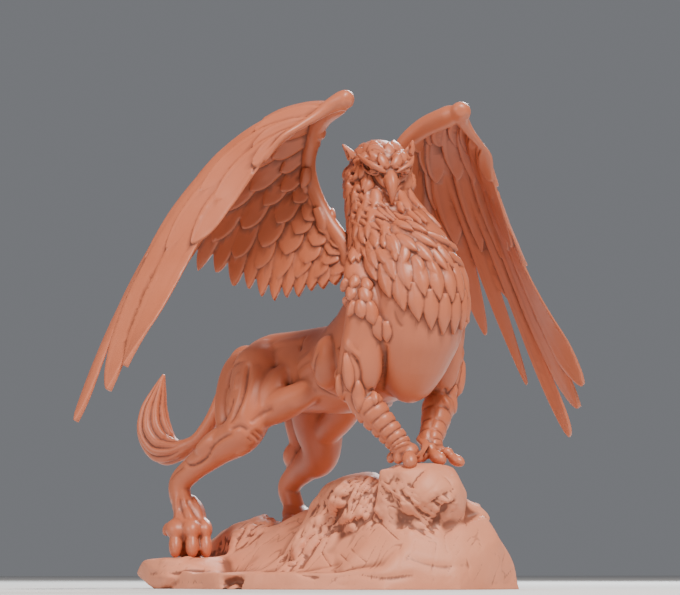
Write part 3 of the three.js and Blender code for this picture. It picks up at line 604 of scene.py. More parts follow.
# Lines of the body: pixels along each groove or swell, its half width and its height in millimetres. The
# first ones are those of the hind leg that shows, and the others are carved on both sides.
LEG_LINES = 21
BODY_LINES = [
    # hip, thigh and stifle
    ([(249, 363), (247, 375), (245, 388), (240, 403), (235, 414), (230, 424)], 3.6, -1.9),
    ([(246, 361), (237, 363), (233, 367), (230, 375), (229, 384), (231, 392)], 3.0, -1.4),
    ([(234, 397), (230, 409), (224, 421)], 3.0, -1.3),
    ([(239, 372), (236, 382), (236, 390)], 3.4, 1.2),
    ([(258, 366), (254, 384), (248, 402), (240, 418)], 5.0, 1.3),
    ([(273, 408), (261, 414), (250, 423)], 4.0, -1.5),
    ([(292, 410), (308, 403), (322, 393)], 4.5, 0.9),
    # knee, calf, hock and shank
    ([(250, 432), (256, 437), (260, 441)], 2.0, -1.3),
    ([(254, 429), (260, 434), (264, 437)], 2.0, -1.2),
    ([(247, 437), (252, 442)], 1.8, -0.9),
    ([(229, 430), (240, 426), (249, 431)], 2.8, -1.5),
    ([(238, 456), (245, 452), (250, 447)], 4.0, 1.1),
    ([(209, 455), (212, 447), (222, 438), (233, 433)], 2.8, -1.6),
    ([(185, 460), (191, 465), (199, 463), (206, 458), (210, 452)], 2.8, -2.0),
    ([(170, 482), (176, 473), (185, 466)], 2.4, -1.2),
    ([(196, 450), (203, 445), (212, 440)], 5.0, 1.0),
    ([(172, 499), (171, 509), (167, 519)], 2.2, -1.1),
    ([(181, 497), (182, 508), (186, 519)], 2.2, -1.2),
    ([(187, 498), (193, 509), (199, 519)], 2.2, -1.2),
    ([(177, 496), (177, 508), (177, 518)], 2.2, 0.8),
    ([(185, 500), (188, 510), (193, 519)], 1.8, 0.7),
    # ribs and folds of the flank
    ([(299, 376), (306, 370), (313, 362)], 4.0, 1.0),
    ([(296, 366), (303, 361), (311, 354)], 4.0, 0.9),
    ([(262, 352), (276, 345), (292, 341), (310, 338)], 5.0, 0.9),
    ([(300, 352), (302, 343), (307, 336)], 2.4, -1.2),
    ([(300, 336), (300, 350)], 2.2, -0.8),
    ([(321, 349), (315, 359), (313, 371), (317, 384), (327, 393), (338, 397)], 2.6, -1.4),
    # upper arm: the hem of its smooth skin, and the fold along the breast
    ([(349, 350), (356, 359), (360, 371), (361, 382), (367, 391)], 2.2, -1.6),
    ([(367, 391), (373, 389), (378, 397), (381, 400)], 2.0, -1.5),
    ([(345, 340), (351, 350), (360, 358)], 3.4, 1.1),
    ([(386, 344), (385, 366), (383, 392)], 3.0, -1.7),
    ([(394, 309), (397, 320), (403, 328)], 2.4, -0.9),
]

for index, (line, width, height) in enumerate(BODY_LINES):
    path = [seen(column, row) for column, row in line]
    pointed = 1.3 if height < 0 else 2
    skin.stroke(path, width, height, pointed)
    if index >= LEG_LINES:
        skin.stroke(mirrored(path), width, height, pointed)

# Eye sockets, a hollow under the cheekbones, and one in the throat under the beak.
SOCKET = [(8.6, 17, 6.8), (10.5, 15.8, 7.0), (13, 13, 7.6)]
CHEEK = [(9, 15, -7), (12, 10, -8), (15, 3, -9)]
for side in (RIGHT, LEFT):
    skin.stroke(head_path(side, SOCKET), 4.8, -3.2, ends=0)
    skin.stroke(head_path(side, CHEEK), 4.5, -1.2)
skin.stroke([seen(395, 203), seen(397, 212), seen(402, 220)], 9, -2.4)
skin.update()
skin.relax(1, 0.3)
tree = skin.tree()

# Feathers and scales are leaves laid on the skin: a leaf follows the skin from its root, with a ridge down
# its middle, a thick edge and a raised tip, over the one below it. It lies a little flatter than the skin.
detail = Clay()
LEAF_ROWS = 9
LEAF_COLUMNS = 7
LEAF_DEPTH = 1.2
FLATTER = 0.4
leaf_across = np.linspace(-1, 1, LEAF_COLUMNS)


def leaf_width(share, point=0.5, root=0.6, blunt=1.5, arch=1.0):
    """A leaf's width, as a share of its widest: it swells from the root and runs out to a tip.

    A blunt tip has a small arch, and a pointed one an arch of 1.
    """
    swell = root + (1 - root) * np.sin(0.5 * math.pi * np.clip(share / point, 0, 1))
    run_out = np.clip((share - point) / (1 - point), 0, 1)
    return swell * (1 - run_out**blunt) ** arch + 0.015


def lay_leaf(root, way, length, width, lift=1.8, ridge=1.1, dome=0.0, point=0.5, blunt=1.5, sway=0.0,
             start=0.15, narrow=0.6, edge_share=0.6):
    """Lays one leaf on the skin from its root. Sizes are in millimetres, and width is half of its width.

    Its tip stands lift over the skin, and its root start times that. Its middle is higher than its edges by
    ridge, as a roof, or by dome, as a pillow.
    """
    spot, normal = tree.find_nearest(Vector(root))[:2]
    way = Vector(way)
    step = length * MM / (LEAF_ROWS - 1)
    top, bottom = [], []
    for share in np.linspace(0, 1, LEAF_ROWS):
        way = (way - normal * way.dot(normal)).normalized()
        side = normal.cross(way)
        if sway:
            way = (way + side * sway / LEAF_ROWS).normalized()
        half = width * MM * float(leaf_width(share, point, narrow, blunt))
        rise = lift * (start + (1 - start) * share)
        body = math.sqrt(max(0, 1 - (2 * share - 1) ** 4))
        row_top, row_bottom = [], []
        for t in leaf_across:
            flat = spot + side * (t * half)
            ground = tree.find_nearest(flat)[0].lerp(flat, FLATTER)
            roof = ridge * (1 - abs(t)) * min(1, 2.5 * (1 - share))
            height = rise * (1 if abs(t) < 0.99 else edge_share) + roof + dome * (1 - t * t) * body
            row_top.append(tuple(ground + normal * height * MM))
            row_bottom.append(tuple(ground - normal * LEAF_DEPTH * MM))
        top.append(row_top)
        bottom.append(row_bottom)
        spot, up = tree.find_nearest(spot + way * step)[:2]
        normal = up.lerp(normal, FLATTER).normalized()
    detail.slab(np.array(top), np.array(bottom))


def lay_seen(root, tip, width, mirror=True, **shape):
    """Lays a leaf between two pixels of the photograph, and its mirror image on the other side."""
    ends = [seen(*root), seen(*tip)]
    for start, end in [ends, mirrored(ends)] if mirror else [ends]:
        lay_leaf(start, end - start, (end - start).length / MM, width, **shape)


# The bib. Its two lowest rows are large, even leaves with a sharp ridge, which hang in a deep curve from both
# shoulders. The rows above are laid only where the photograph doesn't show the throat. Each leaf is placed by
# the height of its tip and its turn round the breast from the front.
BIB_TURN = 16
EVEN_ROWS = 2
SHOULDER_TURN = 128
BREAST_RADIUS = 25
BIB_ROWS = [
    # turn of the first leaf, tip height, rise at the sides, its power, length, half width, leaves each way
    (6, 147, 52, 1.6, 24, 4.8, 8),
    (-2, 166, 41, 2.0, 23, 4.9, 8),
    (6, 181, 34, 2.0, 19, 4.6, 8),
    (-2, 196, 24, 2.0, 17, 4.2, 10),
    (6, 209, 15, 2.0, 15, 3.8, 11),
    (-2, 220, 10, 2.0, 14, 3.6, 11),
    (6, 231, 6, 2.0, 13, 3.4, 11),
    (-2, 241, 3, 2.0, 12, 3.2, 11),
    (6, 250, 0, 2.0, 11, 3.0, 11),
]
VISIBLE_THROAT = (-75, 42)
draw = np.random.default_rng(11)


def on_breast(height, turn):
    """The skin at a height in millimetres and a turn in degrees from the front, and the ways down and out."""
    turn = math.radians(90 + turn)
    low, high = 0.0, 1.0
    for _ in range(12):
        share = 0.5 * (low + high)
        centre, along, across, deep = breast.section(np.array([share]))
        out = Vector(across[0] * math.cos(turn) + deep[0] * math.sin(turn))
        middle = Vector(centre[0])
        hit = tree.ray_cast(middle + out * 80 * MM, -out, 80 * MM)[0] or middle + out * BREAST_RADIUS * MM
        if hit.z > height * MM:
            low = share
        else:
            high = share
    return hit, Vector(along[0]), out


for row, (first, tip_height, climb, power, length, width, each_way) in enumerate(BIB_ROWS):
    for k in range(-each_way, each_way + 1):
        turn = first + BIB_TURN * k
        even = row < EVEN_ROWS
        jitter = draw.normal(size=4) * (0 if even else 1)
        if turn > 180 or turn <= -180:
            continue
        if not even and VISIBLE_THROAT[0] < turn < VISIBLE_THROAT[1]:
            continue
        to_shoulder = min(abs(turn), SHOULDER_TURN) / SHOULDER_TURN
        tip = tip_height + climb * to_shoulder**power
        shrink = 1 - 0.15 * to_shoulder
        spot, down, out = on_breast(tip + length * shrink * 0.94 + jitter[0], turn + 3 * jitter[1])
        sweep = 0.25 * jitter[2] + (0.35 * math.sin(math.radians(turn)) if row > EVEN_ROWS else 0)
        way = down - out.cross(down) * sweep
        size = 1 + 0.1 * jitter[3]
        ridged = even or draw.random() < 0.4
        lay_leaf(spot, way, length * shrink * size, width * size, lift=2.2, ridge=1.5 if ridged else 0.5,
            dome=0 if ridged else 0.8, point=0.5, sway=0 if even else 0.3 * jitter[2])

# Feathers of the neck and throat that the photograph shows: the pixels of each root and tip, and half the
# width in millimetres. Narrow locks run down from the face, and broad leaves sweep away from the throat.
THROAT_LEAVES = [
    ((414, 256), (423, 272), 3.2), ((427, 257), (438, 278), 3.0), ((405, 243), (403, 267), 3.6),
    ((394, 245), (397, 262), 2.7), ((376, 246), (388, 265), 3.3), ((369, 252), (378, 266), 2.9),
    ((437, 244), (452, 269), 3.5), ((433, 249), (446, 272), 3.0), ((416, 243), (433, 264), 3.7),
    ((449, 252), (461, 268), 2.6), ((445, 240), (455, 252), 2.0), ((426, 232), (449, 247), 2.4),
    ((413, 232), (437, 250), 3.0), ((397, 235), (418, 252), 3.6), ((391, 234), (398, 249), 2.5),
    ((383, 234), (386, 249), 2.6), ((370, 226), (379, 240), 2.4), ((380, 224), (392, 237), 2.3),
    ((406, 221), (427, 235), 2.5), ((395, 222), (412, 235), 2.6), ((394, 213), (414, 223), 2.2),
    ((415, 211), (426, 225), 2.3), ((408, 209), (421, 226), 2.2),
]
NECK_LOCKS = [
    ((353, 245), (358, 264), 3.9), ((363, 245), (367, 260), 2.5), ((369, 240), (373, 253), 2.5),
    ((354, 227), (358, 246), 2.6), ((362, 231), (366, 247), 2.4), ((348, 220), (351, 236), 2.2),
    ((348, 214), (362, 230), 2.0), ((358, 215), (369, 231), 2.0), ((367, 219), (379, 234), 2.0),
    ((377, 219), (388, 232), 1.9), ((347, 206), (349, 221), 2.2), ((352, 207), (369, 224), 2.0),
    ((355, 199), (372, 220), 2.0), ((361, 201), (379, 224), 2.0), ((366, 204), (381, 222), 1.8),
    ((371, 207), (386, 225), 1.8), ((377, 206), (391, 224), 1.7), ((385, 206), (395, 224), 1.7),
    ((347, 196), (351, 209), 2.4), ((352, 193), (362, 208), 2.2), ((359, 192), (370, 208), 2.0),
    ((366, 194), (377, 210), 1.9), ((374, 195), (384, 211), 1.8),
]
LOCK_FULLNESS = 1.15
SOFT_LEAVES = [((402, 190), (412, 213), 3.8), ((411, 189), (421, 210), 3.0), ((399, 201), (404, 214), 2.2)]
for root, tip, width in THROAT_LEAVES:
    lay_seen(root, tip, width, mirror=False, lift=2.4, ridge=1.0, dome=0.3, blunt=1.6, start=0.05,
        edge_share=0.8)
for root, tip, width in NECK_LOCKS:
    lay_seen(root, tip, width * LOCK_FULLNESS, lift=2.3, ridge=1.2, sway=0.3, point=0.4, blunt=1.3, start=0.1,
        edge_share=0.5)
for root, tip, width in SOFT_LEAVES:
    lay_seen(root, tip, width, mirror=False, lift=2.0, ridge=0, dome=1.2, blunt=2.0)

# Feathers of the shoulders: a patch of short round leaves over each upper arm, and the elbows' smooth scales.
SHOULDER_FULLNESS = 1.35
SHOULDER_LEAVES = [
    ((347, 279), (343, 292), 2.4), ((356, 276), (353, 289), 2.6), ((365, 279), (369, 291), 2.6),
    ((350, 287), (352, 301), 2.9), ((362, 288), (369, 303), 3.0),
    ((347, 298), (343, 314), 2.4), ((354, 301), (350, 317), 2.3),
    ((360, 300), (363, 319), 3.0), ((369, 301), (373, 325), 3.2), ((377, 316), (380, 341), 3.0),
    ((386, 321), (388, 342), 2.5),
]
ELBOW_SCALES = [
    ((346, 353), (352, 392), 3.7), ((339, 349), (342, 374), 2.4), ((340, 374), (344, 398), 2.6),
    ((346, 391), (354, 415), 3.0), ((358, 381), (361, 413), 3.9), ((373, 391), (374, 406), 2.5),
]
for root, tip, width in SHOULDER_LEAVES:
    lay_seen(root, tip, width * SHOULDER_FULLNESS, lift=1.5, ridge=0.5, dome=1.1, narrow=0.45, blunt=2.2,
        start=0.5)
for root, tip, width in ELBOW_SCALES:
    lay_seen(root, tip, width, lift=1.0, ridge=0, dome=1.9, narrow=0.3, blunt=2.4, start=0.7)

# The nape, hidden in the photograph: rows of plain leaves that hang between the wings.
NAPE_TURN = 14
NAPE_DEPTH = 34
NAPE_ROWS = [(240, 56), (229, 50), (218, 40), (207, 36), (197, 32), (188, 30)]
for row, (height, reach) in enumerate(NAPE_ROWS):
    for turn in np.arange(-reach + NAPE_TURN // 2 * (row % 2), reach + 1, NAPE_TURN):
        out = Vector((math.sin(math.radians(turn)), math.cos(math.radians(turn)), 0))
        hit = tree.ray_cast(Vector(at(0, -47, height)) + out * NAPE_DEPTH * MM, -out, NAPE_DEPTH * MM)[0]
        if hit is not None:
            lay_leaf(hit, (0, 0.3, -1), 15, 4.2, lift=2.2, ridge=0.8, dome=0.3, blunt=1.6, start=0.05)

# Feathers of the head: rings of leaves that lie back from the beak over the brows, crown and cheeks, bold
# over the brows and hardly raised on the crown.
HEAD_REACH = 45
HEAD_RINGS = [
    # polar angle from the beak, first and last turn from the crown, leaves, length, half width, lift
    (37, 0, 40, 3, 8.5, 2.5, 2.4),
    (50, 8, 62, 4, 9.5, 2.9, 2.4),
    (65, 0, 72, 4, 10.0, 3.2, 2.6),
    (82, 10, 84, 5, 10.0, 3.2, 2.2),
    (100, 40, 100, 4, 9.5, 3.0, 1.6),
    (116, 50, 120, 5, 9.5, 3.0, 1.4),
    (128, 30, 130, 6, 10.0, 3.0, 1.2),
    (144, 0, 130, 6, 10.0, 3.0, 1.2),
    (66, 100, 140, 3, 7.5, 2.2, 2.0),
    (78, 92, 150, 5, 8.5, 2.4, 2.6),
    (92, 96, 150, 4, 8.5, 2.6, 2.6),
]
for polar, first, last, count, length, width, lift in HEAD_RINGS:
    for side in (RIGHT, LEFT):
        for k in range(count):
            jitter = draw.normal(size=4)
            turn = math.radians(first + (last - first) * (k + 0.5) / count + 2 * jitter[0])
            lean = math.radians(polar + 2 * jitter[1])
            outwards = head_up * math.cos(turn) + head_left * side * math.sin(turn)
            out = head_forward * math.cos(lean) + outwards * math.sin(lean)
            back = outwards * math.cos(lean) - head_forward * math.sin(lean)
            start = Vector(in_head(0, 2, -2) + out * HEAD_REACH * MM)
            hit = tree.ray_cast(start, -Vector(out), HEAD_REACH * MM)[0]
            if hit is not None:
                lay_leaf(hit, back, length * (1 + 0.12 * jitter[2]), width, lift=lift, ridge=0.5, start=0.05,
                    sway=0.5 * jitter[3], point=0.45, blunt=1.4, edge_share=0.95)

# Beak: a hooked upper half with a ridge along its top, its cere, and the jaw under it. Beside it are the
# brows that overhang the eyes, the eyeballs, the lower lids and the cupped ears.
BEAK_TOP = math.pi / 2


def beak_form(shares, turns):
    """Higher than wide, with a ridge along the top."""
    off = np.abs(turns - BEAK_TOP)
    return 1 + 0.1 * np.exp(-((off / 0.4) ** 2)) * np.clip(2 * shares, 0, 1)


BEAK = [(0, 12, 1.5), (0, 18, 2.4), (0, 22, 2.2), (0, 25.6, 0.6), (0, 28.4, -2.2),
    (0, 30.1, -5.6), (0, 31.0, -10.2)]
JAW = [(0, 9, -6), (0, 17, -5), (0, 25.5, -5.6)]
BROW = [(3.4, 21.6, 6.4), (6.4, 20.4, 7.6), (10.5, 18.0, 9.2), (14.6, 11.6, 10.2), (17, 5, 11.4)]
LOWER_LID = [(5.8, 19.6, 5.4), (7.8, 18.8, 4.2), (10.6, 17.0, 3.7), (13.4, 13.6, 4.8), (15.2, 10.0, 7.4)]
detail.tube(Limb(
    head_path(LEFT, BEAK),
    [6.4, 5.0, 4.3, 3.7, 2.8, 1.8, 0.7],
    [6.0, 5.0, 4.6, 4.2, 3.2, 2.0, 0.7],
    head_left,
).rings(32, 60, beak_form))
detail.tube(egg_rings(in_head(-5.4, 18.5, 4.6), in_head(5.4, 18.5, 4.6), 3.0, 3.2, head_up))
detail.tube(Limb(head_path(LEFT, JAW), [8.4, 5.6, 1.5], [4, 3.2, 1.2], head_left).rings(20, 20))
for side in (RIGHT, LEFT):
    out = head_left * side
    brow = Limb(head_path(side, BROW), [0.9, 1.7, 1.9, 1.6, 0.6], [0.9, 1.4, 1.6, 1.3, 0.6], head_up)
    detail.tube(brow.rings(16, 30))
    detail.tube(egg_rings(in_head(side * 7.2, 19.0, 6.7), in_head(side * 12.0, 15.2, 7.1), 2.7, 2.8, out))
    lid = Limb(head_path(side, LOWER_LID), [0.5, 0.8, 0.9, 0.8, 0.5], [0.5, 0.8, 0.9, 0.8, 0.5], head_up)
    detail.tube(lid.rings(12, 30))
EARS = {
    RIGHT: ((-18.0, -2, 7), (-20.4, -3, 10), (-24.2, -5, 14.2)),
    LEFT: ((16.5, -4, 10), (17.8, -5, 13), (18.6, -6, 17.8)),
}
for spots in EARS.values():
    ear = Limb([in_head(*spot) for spot in spots], [3.4, 2.6, 0.5], [2.2, 1.8, 0.5], head_left)
    detail.tube(ear.rings(24, 30))

# Forearms: scaly bands in two lanes with a seam between them, each band a pillow that wraps half the arm.
PLATE_RISE = -0.3
PLATE_DOME = 1.25
FOREARM_LANES = {
    # turn of the lane's start and end, first share, last share, bands
    RIGHT: [(-170, 10, 0.2, 0.93, 7), (10, 190, 0.14, 0.93, 8)],
    LEFT: [(128, 308, 0.2, 0.93, 5), (-52, 128, 0.2, 0.93, 5)],
}


def plate(arm, shares, turns):
    """A pillow on an arm, between two shares along it and two turns round it."""
    x = np.linspace(-1, 1, 13)[None, :]
    y = np.linspace(-1, 1, 9)[:, None]
    share = np.interp(y[:, 0], (-1, 1), shares)
    turn = np.radians(np.interp(x[0], (-1, 1), turns))
    centre, _, across, deep = arm.section(share)
    half_wide, half_deep = along_curve(arm.wide, share), along_curve(arm.deep, share)
    out = (across * half_wide)[:, None] * np.cos(turn)[None, :, None]
    out = out + (deep * half_deep)[:, None] * np.sin(turn)[None, :, None]
    height = (PLATE_RISE + PLATE_DOME * np.sqrt((1 - x**8) * (1 - y**4))) * MM
    skin_point = centre[:, None] + out
    away_from = unit(out)
    detail.slab(skin_point + away_from * height[..., None], skin_point - away_from * 2 * MM)


for side, lanes in FOREARM_LANES.items():
    for start, end, first, last, bands in lanes:
        edges = np.linspace(first, last, bands + 1)
        for a, b in zip(edges[:-1], edges[1:]):
            plate(FOREARMS[side], (a + 0.004, b - 0.004), (start + 1, end - 1))

# Tail tuft: a flame of long locks that twist up to one tip.
TUFT_LOCKS = 9


def locks(shares, turns):
    """Round locks with creases between them, which turn about the tuft on their way up."""
    wave = np.abs(np.sin(0.5 * TUFT_LOCKS * turns + 2.2 * shares))
    return 1 + 0.26 * (wave**0.7 - 0.6) * np.clip(4 * shares, 0, 1)


detail.tube(Limb(
    [at(-20, 115, 88.5), at(-24, 124, 85), at(-27, 134, 87), at(-29, 141.5, 97), at(-28.5, 143, 110),
        at(-27, 140, 122), at(-26, 136, 133)],
    [4.5, 6.8, 9.6, 10.2, 8.2, 4.6, 0.8],
    [4.5, 6.8, 9.6, 10.2, 8.2, 4.6, 0.8],
    (1, 0, 0),
).rings(108, 90, locks))

# Wing feathers: each blade follows its rib on the wing's surface, which a thin web fills. Its trailing edge
# lies over the next blade inwards, and each tier lies over the tier below it.
BLADE_ROWS = 22
BLADE_COLUMNS = 9
CLOSER_AT_TIP = 1.5
BLADE_OVERLAP = 0.58
THINNEST_BLADE = 0.55
WEB_ROWS = 26
WEB_COLUMNS = 90
WEB_THICKNESS = 1.6 * MM
blade_shares = 1 - (1 - np.linspace(0, 1, BLADE_ROWS)[:, None]) ** CLOSER_AT_TIP
blade_across = np.linspace(-1, 1, BLADE_COLUMNS)[None, :]


def rib_gap(rib, reach):
    """The spacing of the ribs, from one to the next, at places on the wing."""
    _, onward, _ = wing_frame(LEFT, rib, reach)
    return np.linalg.norm(onward, axis=-1)


def blade(side, face, rib, start, end, gap, lift, widest=9.5, point=0.6, blunt=2.0, tilt=0.9, crown=0.6,
          root=0.8, spread=0.0, start_lift=0.1, arch=1.0, rim=0.35):
    """One wing feather on the upper face, 1, or on the lower face, -1.

    The gap is the way to the next feather in ribs. The feather is a little wider than that, but no wider to
    each side than widest, in millimetres. It leans to its trailing edge by tilt, and its middle is raised by
    crown and its edges by rim.
    """
    reach = start + (end - start) * blade_shares
    middle = rib + spread * (blade_shares - 0.5)
    spacing = rib_gap(middle, reach)
    half = np.minimum(BLADE_OVERLAP * gap * spacing, widest * MM)
    half = half * leaf_width(blade_shares, point, root, blunt, arch)
    ribs = middle + blade_across * half / spacing
    reaches = reach + 0 * blade_across
    surface = on_wing(side, ribs, reaches)
    out = wing_frame(side, np.clip(ribs, 0, LAST_RIB), reaches)[2]
    rise = lift * (start_lift + (1 - start_lift) * blade_shares)
    lean = -tilt * blade_across * np.clip(3 * blade_shares, 0, 1) * np.clip(5 * (1 - blade_shares), 0.2, 1)
    edge = np.exp(-(((np.abs(blade_across) - 0.85) / 0.14) ** 2)) * np.where(blade_across < 0, 1, 0.3)
    roof = crown * (1 - np.abs(blade_across) ** 1.5) + rim * edge
    top = np.maximum(THINNEST_BLADE, 0.6 + rise + lean + roof) * MM
    detail.slab(surface + out * (face * top)[..., None], surface - out * (face * 0.2 * MM))


def hem(rib):
    """How far the web reaches along a rib, short of the feathers' tips."""
    return np.where(rib < 5.4, 0.9, 0.78)


UPPER_TIERS = [
    # start, end, gap in ribs, lift
    (0.0, 0.24, 0.62, 2.8),
    (0.1, 0.44, 0.66, 2.4),
    (0.28, 0.66, 0.7, 2.0),
    (0.48, 0.84, 0.62, 1.4),
]
HAND_RIBS = [5.9, 6.8, 7.7, 8.75, 9.7]
UPPER_HAND_ENDS = [
    [0.3, 0.27, 0.24, 0.2, 0.15],
    [0.52, 0.47, 0.41, 0.35, 0.29],
    [0.76, 0.7, 0.63, 0.56, 0.49],
]
LOWER_HAND_ENDS = [
    [0.3, 0.27, 0.25, 0.22, 0.2],
    [0.62, 0.57, 0.51, 0.46, 0.42],
    [0.8, 0.76, 0.7, 0.64, 0.58],
]
LOWER_ARM_ENDS = [0.07, 0.16, 0.27, 0.39, 0.52, 0.66, 0.82]
LOWER_ARM_GAP = 0.38
SECONDARIES = np.linspace(0.15, 5.45, 15)
SECONDARY_GAP = 0.385
PRIMARIES = [
    # rib at the root, rib at the tip, gap in ribs
    (5.75, 6.1, 1.0),
    (6.3, 7.0, 1.0),
    (7.05, 8.0, 1.0),
    (8.0, 9.0, 1.1),
    (9.1, 9.75, 1.1),
]

for side in (RIGHT, LEFT):
    ribs = np.linspace(0, LAST_RIB - 0.1, WEB_COLUMNS)[None, :] + np.zeros((WEB_ROWS, 1))
    reaches = np.linspace(0, 1, WEB_ROWS)[:, None] * hem(ribs)
    surface = on_wing(side, ribs, reaches)
    _, _, out = wing_frame(side, ribs, reaches)
    detail.slab(surface + out * 0.5 * WEB_THICKNESS, surface - out * 0.5 * WEB_THICKNESS)

    for face in (1, -1):
        for root_rib, tip_rib, gap in PRIMARIES:
            blade(side, face, 0.5 * (root_rib + tip_rib), 0.4, 1.0, gap, 0.7, widest=10.5, point=0.66,
                blunt=2.2, tilt=1.0, crown=0.5, root=0.9, spread=tip_rib - root_rib, arch=0.6, rim=0.7)
        for k, rib in enumerate(SECONDARIES):
            end = 1.0 + 0.014 * math.sin(2.6 * k)
            blade(side, face, rib, 0.55, end, SECONDARY_GAP, 0.7, point=0.5, tilt=0.4, crown=0.9, arch=0.8)
        for tier, ends in enumerate(UPPER_HAND_ENDS if face > 0 else LOWER_HAND_ENDS):
            for rib, end in zip(HAND_RIBS, ends):
                rib -= 0.3 * (tier % 2)
                blade(side, face, rib, max(0, end - 0.38), end, 0.92, 2.8 - 0.5 * tier, widest=9, point=0.55,
                    tilt=1.1, crown=0.3, start_lift=0.35, arch=0.75, rim=0.8)

    for tier, (start, end, gap, lift) in enumerate(UPPER_TIERS):
        rib = 5.4 - 0.5 * gap * (tier % 2)
        while rib > -0.2:
            reach = end + 0.02 * math.sin(5 * rib + tier)
            blade(side, 1, rib, start, reach, gap, lift, point=0.5, arch=0.8)
            rib -= gap
    for tier, end in enumerate(LOWER_ARM_ENDS):
        rib = 0.1 + 0.5 * LOWER_ARM_GAP * (tier % 2)
        while rib <= 5.6:
            blade(side, -1, rib, max(-0.02, end - 0.24), end, LOWER_ARM_GAP, 1.6 + 1.0 * (1 - end), point=0.5,
                blunt=1.8, tilt=0.35, crown=1.0, arch=0.85)
            rib += LOWER_ARM_GAP

# All is melted into the one casting, finely, and thinned to what the forms need.
FINE_VOXEL = 0.55 * MM
GRIFFIN_TRIANGLES = 195000

carving = detail.piece("griffin_carving")
select_only(griffin)
carving.select_set(True)
bpy.ops.object.join()
melt(griffin, FINE_VOXEL)
skin = Skin(griffin)
skin.relax(1, 0.35)
tree = skin.tree()

# Fine lines cut last: the mouth, the nostrils, the cups of the ears, the lines of the eyes, and the dark pits
# between the curls of the cheeks.
MOUTH = [(10, 13, -1.2), (6.6, 19, -1.6), (4.0, 24.5, -3.6), (1.8, 28.6, -6.6)]
NOSTRIL = [(6.0, 20.0, 5.2), (6.0, 21.6, 4.2)]
for side in (RIGHT, LEFT):
    skin.stroke(on_skin(head_path(side, MOUTH)), 1.4, -1.5, ends=0.1)
    skin.stroke(on_skin(head_path(side, NOSTRIL)), 1.5, -1.8, ends=0)
for cup in ([(347.5, 156), (345.2, 151)], [(408.2, 152), (409.2, 146)]):
    skin.stroke([seen(column, row) for column, row in cup], 1.6, -1.6, ends=0)
EYE_LINES = [
    # the crease under each brow, the line of each lower lid, and the pupils
    ([(361, 163.5), (366, 166.8), (372, 169.2), (379, 171.4)], 1.2, -1.5),
    ([(364, 171), (368, 173), (373, 173.6), (378, 172.8)], 0.9, -0.8),
    ([(370.2, 170.8), (371.6, 171.2)], 1.1, -0.9),
    ([(397, 173), (402, 171.4), (407, 168.8), (412, 165)], 1.2, -1.5),
    ([(399, 174.4), (404, 174.2), (409, 172.2)], 0.9, -0.8),
    ([(403.4, 172.2), (404.6, 171.8)], 1.1, -0.9),
]
for line, width, height in EYE_LINES:
    skin.stroke([seen(column, row) for column, row in line], width, height, ends=0.1)
CHEEK_PITS = [(350.5, 172), (349.5, 181.5), (356, 190), (357, 200.5), (352, 211)]
for column, row in CHEEK_PITS:
    pit = [seen(column, row), seen(column + 2.4, row + 1.2)]
    skin.stroke(pit, 2.0, -2.2, ends=0)
    skin.stroke(mirrored(pit), 2.0, -2.2, ends=0)
skin.update()


def hollows(skin):
    """How deep each point lies in a fine or a broad hollow. It is below 0 on ridges and above 0 in folds."""
    start = skin.points.copy()
    smooth = start
    total = 0
    for times, weight in ((4, 2.2), (26, 1.0)):
        for _ in range(times):
            smooth = 0.3 * smooth + 0.7 * skin.around(smooth)
        total = total + weight * (np.sum((smooth - start) * skin.normals, axis=1) / MM)
    return total


def thin(piece, triangles, depths):
    """Thins a piece, stores the hollows' depths on what is left, and shades it smooth."""
    points = [vertex.co.copy() for vertex in piece.data.vertices]
    finder = kdtree.KDTree(len(points))
    for index, point in enumerate(points):
        finder.insert(point, index)
    finder.balance()
    faces = 2 * len(piece.data.polygons)
    select_only(piece)
    decimate = piece.modifiers.new("thin", "DECIMATE")
    decimate.show_viewport = False
    decimate.ratio = min(1, triangles / faces)
    bpy.ops.object.modifier_apply(modifier=decimate.name)
    depths = np.array([depths[finder.find(vertex.co)[1]] for vertex in piece.data.vertices])
    hollow = piece.data.attributes.new("hollow", "FLOAT", "POINT")
    hollow.data.foreach_set("value", np.clip(depths, -1, 1).astype(np.float32))
    piece.data.shade_smooth()


thin(griffin, GRIFFIN_TRIANGLES, hollows(skin))


class Value:
    """A shader socket that can be reckoned with."""

    def __init__(self, finish, socket):
        self.finish = finish
        self.socket = socket

    def reckon(self, operation, other):
        return self.finish.node("ShaderNodeMath", {"operation": operation}, [self, other])

    def __add__(self, other):
        return self.reckon("ADD", other)

    def __radd__(self, other):
        return self.reckon("ADD", other)

    def __mul__(self, other):
        return self.reckon("MULTIPLY", other)

    def __rmul__(self, other):
        return self.reckon("MULTIPLY", other)


